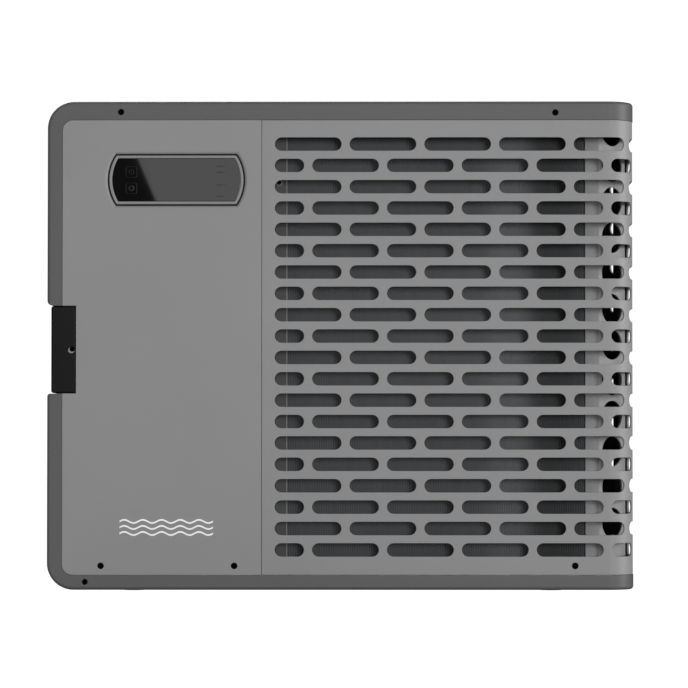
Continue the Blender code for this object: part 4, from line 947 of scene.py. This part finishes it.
# ------------------------------------------------------------------ water side
def unions():
    """A fluted nut with a plain lip on each water port, and the barbed spigot that it holds."""
    flutes, reach, depth, lip, steps = 8, 0.0290, 0.0022, 0.0115, 192
    bore, wall, barb, collar = 0.0130, 0.0148, 0.0160, 0.0198
    for name, at in (("inlet", INLET), ("outlet", OUTLET)):
        low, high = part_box(f"{name}_union_nut")
        centre = (at.x, at.z)
        outline = []
        for i in range(steps):
            angle = 2 * math.pi * i / steps
            wave = (1 + math.cos(flutes * angle)) / 2
            radius = reach - depth * (1 - wave ** 0.35)
            outline.append((at.x + radius * math.cos(angle), at.z + radius * math.sin(angle)))
        split = high.y - lip
        front = upright(plate(outline, [ring(centre, 0.0207, 64)], split - low.y, 0.0008, 3), low.y)
        rear = upright(plate(outline, [ring(centre, 0.0168, 64)], lip, 0.0012, 3), split)
        nut = merged(front, rear)
        add(f"{name}_nut_fluted", nut, GREY, f"{name}_nut", [f"{name}_union_nut"])
        start, end = [corner.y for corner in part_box(f"{name}_hose_spigot")]
        stop = split - 0.0003
        profile = [
            (bore, end), (0.0146, end), (barb, end - 0.004), (wall, end - 0.0045), (wall, end - 0.0075),
            (barb, end - 0.0115), (barb, stop), (collar, stop), (collar, start), (bore, start),
        ]
        bm = turned(rounded(profile, 0.0005, 2), 64, at)
        add(f"{name}_spigot_turned", bm, GREY, replaces=[f"{name}_hose_spigot"])


def gland():
    """Hexagon flange with a threaded neck through the panel, and the domed nut on it."""
    centre, face, bore, neck = (GLAND.x, GLAND.z), REAR_FACE, 0.0042, 0.0072
    seat_y = face + 0.0003
    flange = upright(plate(ring(centre, 0.0115, 6), [ring(centre, bore, 32)], 0.0042, 0.0005, 2), seat_y)
    crest, root, turns, pitch, end = 0.0080, 0.0074, 9, 0.0015, face - 0.014
    thread = [(bore, seat_y), (crest, seat_y)]
    for i in range(turns):
        thread += [(crest, face - 0.0006 - i * pitch), (root, face - 0.0013 - i * pitch)]
    thread += [(root, end), (bore, end)]
    low, high = face + 0.0044, face + 0.0062
    collar = [(bore, low), (neck, low), (neck, high), (bore, high)]
    body = merged(flange, turned(thread, 48, GLAND), turned(collar, 48, GLAND))
    add("gland_body", body, BLACK, replaces=["cable_gland"])
    ridged, steps = [], 96
    for i in range(steps):
        reach, angle = 0.0105 if i % 8 < 5 else 0.0101, 2 * math.pi * i / steps
        ridged.append((GLAND.x + reach * math.cos(angle), GLAND.z + reach * math.sin(angle)))
    skirt = upright(plate(ridged, [ring(centre, 0.0075, 32)], 0.0095, 0.0004), face + 0.0048)
    top, shoulder, rim = face + 0.0200, face + 0.0186, face + 0.0143
    dome = [(bore, top), (0.0066, top), (0.0086, shoulder), (0.0100, rim), (bore, rim)]
    cap = turned(rounded(dome, 0.0010, 4), 64, GLAND)
    add("gland_dome_nut", merged(skirt, cap), BLACK, replaces=["cable_gland_nut"])


def feet():
    wide, narrow = 0.0110, 0.0104
    for node in ("foot_front_left", "foot_rear_left", "foot_front_right", "foot_rear_right"):
        low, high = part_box(node)
        profile = rounded([(0.0, high.z), (wide, high.z), (narrow, 0.0), (0.0, 0.0)], 0.0006, closed=False)
        bm = lathe(profile, 40, ((low.x + high.x) / 2, (low.y + high.y) / 2, 0))
        add(node + "_pad", bm, RUBBER, replaces=[node])


# ------------------------------------------------------------------ carried-over solids
def finish_solids():
    """Materials and softened edges for the CAD solids that stay."""
    looks = {
        "shell_grey": SHELL, "panel_grey": PANEL, "black_plastic": BLACK, "black_screws": OXIDE,
        "display_glass": LENS, "coated_fins": FINS, "galvanised_sheet": ZINC, "steel": STEEL,
        "copper": COPPER, "brass": BRASS, "machine_black": ENAMEL, "white_plastic": WHITE,
        "grey_plastic": GREY, "circuit_board": BOARD, "rubber": RUBBER,
    }
    slots_of = {part["node"]: part["material_slot"] for part in frame["record"]["subparts"]}
    for name, node in frame["nodes"].items():
        node.data.materials.clear()
        node.data.materials.append(looks[slots_of[name]])
        bevelled(node, 0.0003)


# ------------------------------------------------------------------ studio
def area_light(name, location, target, size, energy):
    light = bpy.data.lights.new(name, "AREA")
    light.shape, light.size, light.energy = "SQUARE", size, energy
    item = bpy.data.objects.new(name, light)
    item.location = location
    item.rotation_euler = (Vector(target) - Vector(location)).to_track_quat("-Z", "Y").to_euler()
    SCENE.collection.objects.link(item)


def stage_plane(name, corners, material):
    mesh = bpy.data.meshes.new(name)
    mesh.from_pydata(corners, [], [tuple(range(len(corners)))])
    mesh.materials.append(material)
    item = bpy.data.objects.new(name, mesh)
    SCENE.collection.objects.link(item)
    return item


def glowing(name, rgb, strength):
    """Matt, and giving off white light."""
    material = bpy.data.materials.new(name)
    material.use_nodes = True
    shader = material.node_tree.nodes["Principled BSDF"]
    shader.inputs["Base Color"].default_value = (*rgb, 1.0)
    shader.inputs["Roughness"].default_value = 1.0
    shader.inputs["Specular IOR Level"].default_value = 0.0
    shader.inputs["Emission Color"].default_value = (1.0, 1.0, 1.0, 1.0)
    shader.inputs["Emission Strength"].default_value = strength
    return material


def studio():
    """White surroundings, a floor for the bounce, a card that the lens mirrors, and five lights."""
    SCENE.view_settings.view_transform = "Standard"
    world = bpy.data.worlds.new("studio")
    SCENE.world = world
    world.use_nodes = True
    nodes, links = world.node_tree.nodes, world.node_tree.links
    background = nodes["Background"]
    background.inputs["Color"].default_value = (1.0, 1.0, 1.0, 1.0)
    path = nodes.new("ShaderNodeLightPath")
    strength = nodes.new("ShaderNodeMapRange")
    ambient, backdrop, reflected = 0.30, 1.05, 0.07
    strength.inputs["To Min"].default_value = ambient
    strength.inputs["To Max"].default_value = backdrop
    links.new(path.outputs["Is Camera Ray"], strength.inputs["Value"])
    mirrored = nodes.new("ShaderNodeMix")
    links.new(path.outputs["Is Glossy Ray"], mirrored.inputs["Factor"])
    links.new(strength.outputs["Result"], mirrored.inputs["A"])
    mirrored.inputs["B"].default_value = reflected
    links.new(mirrored.outputs["Result"], background.inputs["Strength"])

    far = 12.0
    corners = [(x, z, 0) for x, z in rectangle((-far, -far), (far, far))]
    floor = stage_plane("studio_floor", corners, glowing("studio_white", (0.60, 0.60, 0.60), 0.05))
    floor.visible_camera = False
    floor.visible_glossy = False

    ahead, low, high, right = FRONT - 0.45, 0.3091, 0.3869, -0.0850
    slanted_top, slanted_foot = -0.2006, -0.1675
    card = stage_plane(
        "lens_card",
        [(slanted_top, ahead, high), (slanted_foot, ahead, low), (right, ahead, low), (right, ahead, high)],
        glowing("card_white", (0.0, 0.0, 0.0), 1.9),
    )
    card.visible_camera = card.visible_diffuse = card.visible_shadow = card.visible_transmission = False

    area_light("key_light", (1.10, -5.20, 0.62), (0.0, -0.1, 0.19), 1.10, 108.0)
    area_light("right_light", (3.00, -1.05, 0.55), (0.2, -0.12, 0.2), 0.9, 64.0)
    area_light("left_fill", (-3.00, -3.20, 1.40), (0.0, -0.1, 0.2), 2.4, 22.0)
    area_light("top_fill", (0.0, 0.3, 2.6), (0.0, 0.0, 0.2), 2.0, 8.0)
    area_light("rear_key", (-1.30, 2.40, 2.60), (0.0, 0.1, 0.2), 1.8, 85.0)


def camera():
    data = bpy.data.cameras.new("camera")
    data.lens, data.sensor_width = 162.3, 36.0
    data.shift_x, data.shift_y = -0.0668, 0.04485
    data.clip_start, data.clip_end = 0.05, 60.0
    item = bpy.data.objects.new("camera", data)
    item.location = (0.051, -2.461, 0.114)
    tilt, turn = math.radians(91.23), math.radians(0.35)
    item.rotation_euler = (tilt, 0.0, turn)
    SCENE.collection.objects.link(item)
    SCENE.camera = item


camera()
studio()
finish_solids()
casing_shell()
left_panels()
right_panels()
side_grip()
screws()
display()
front_mark()
coil()
end_plate()
corner_post()
guard()
shroud()
impeller()
unions()
gland()
feet()
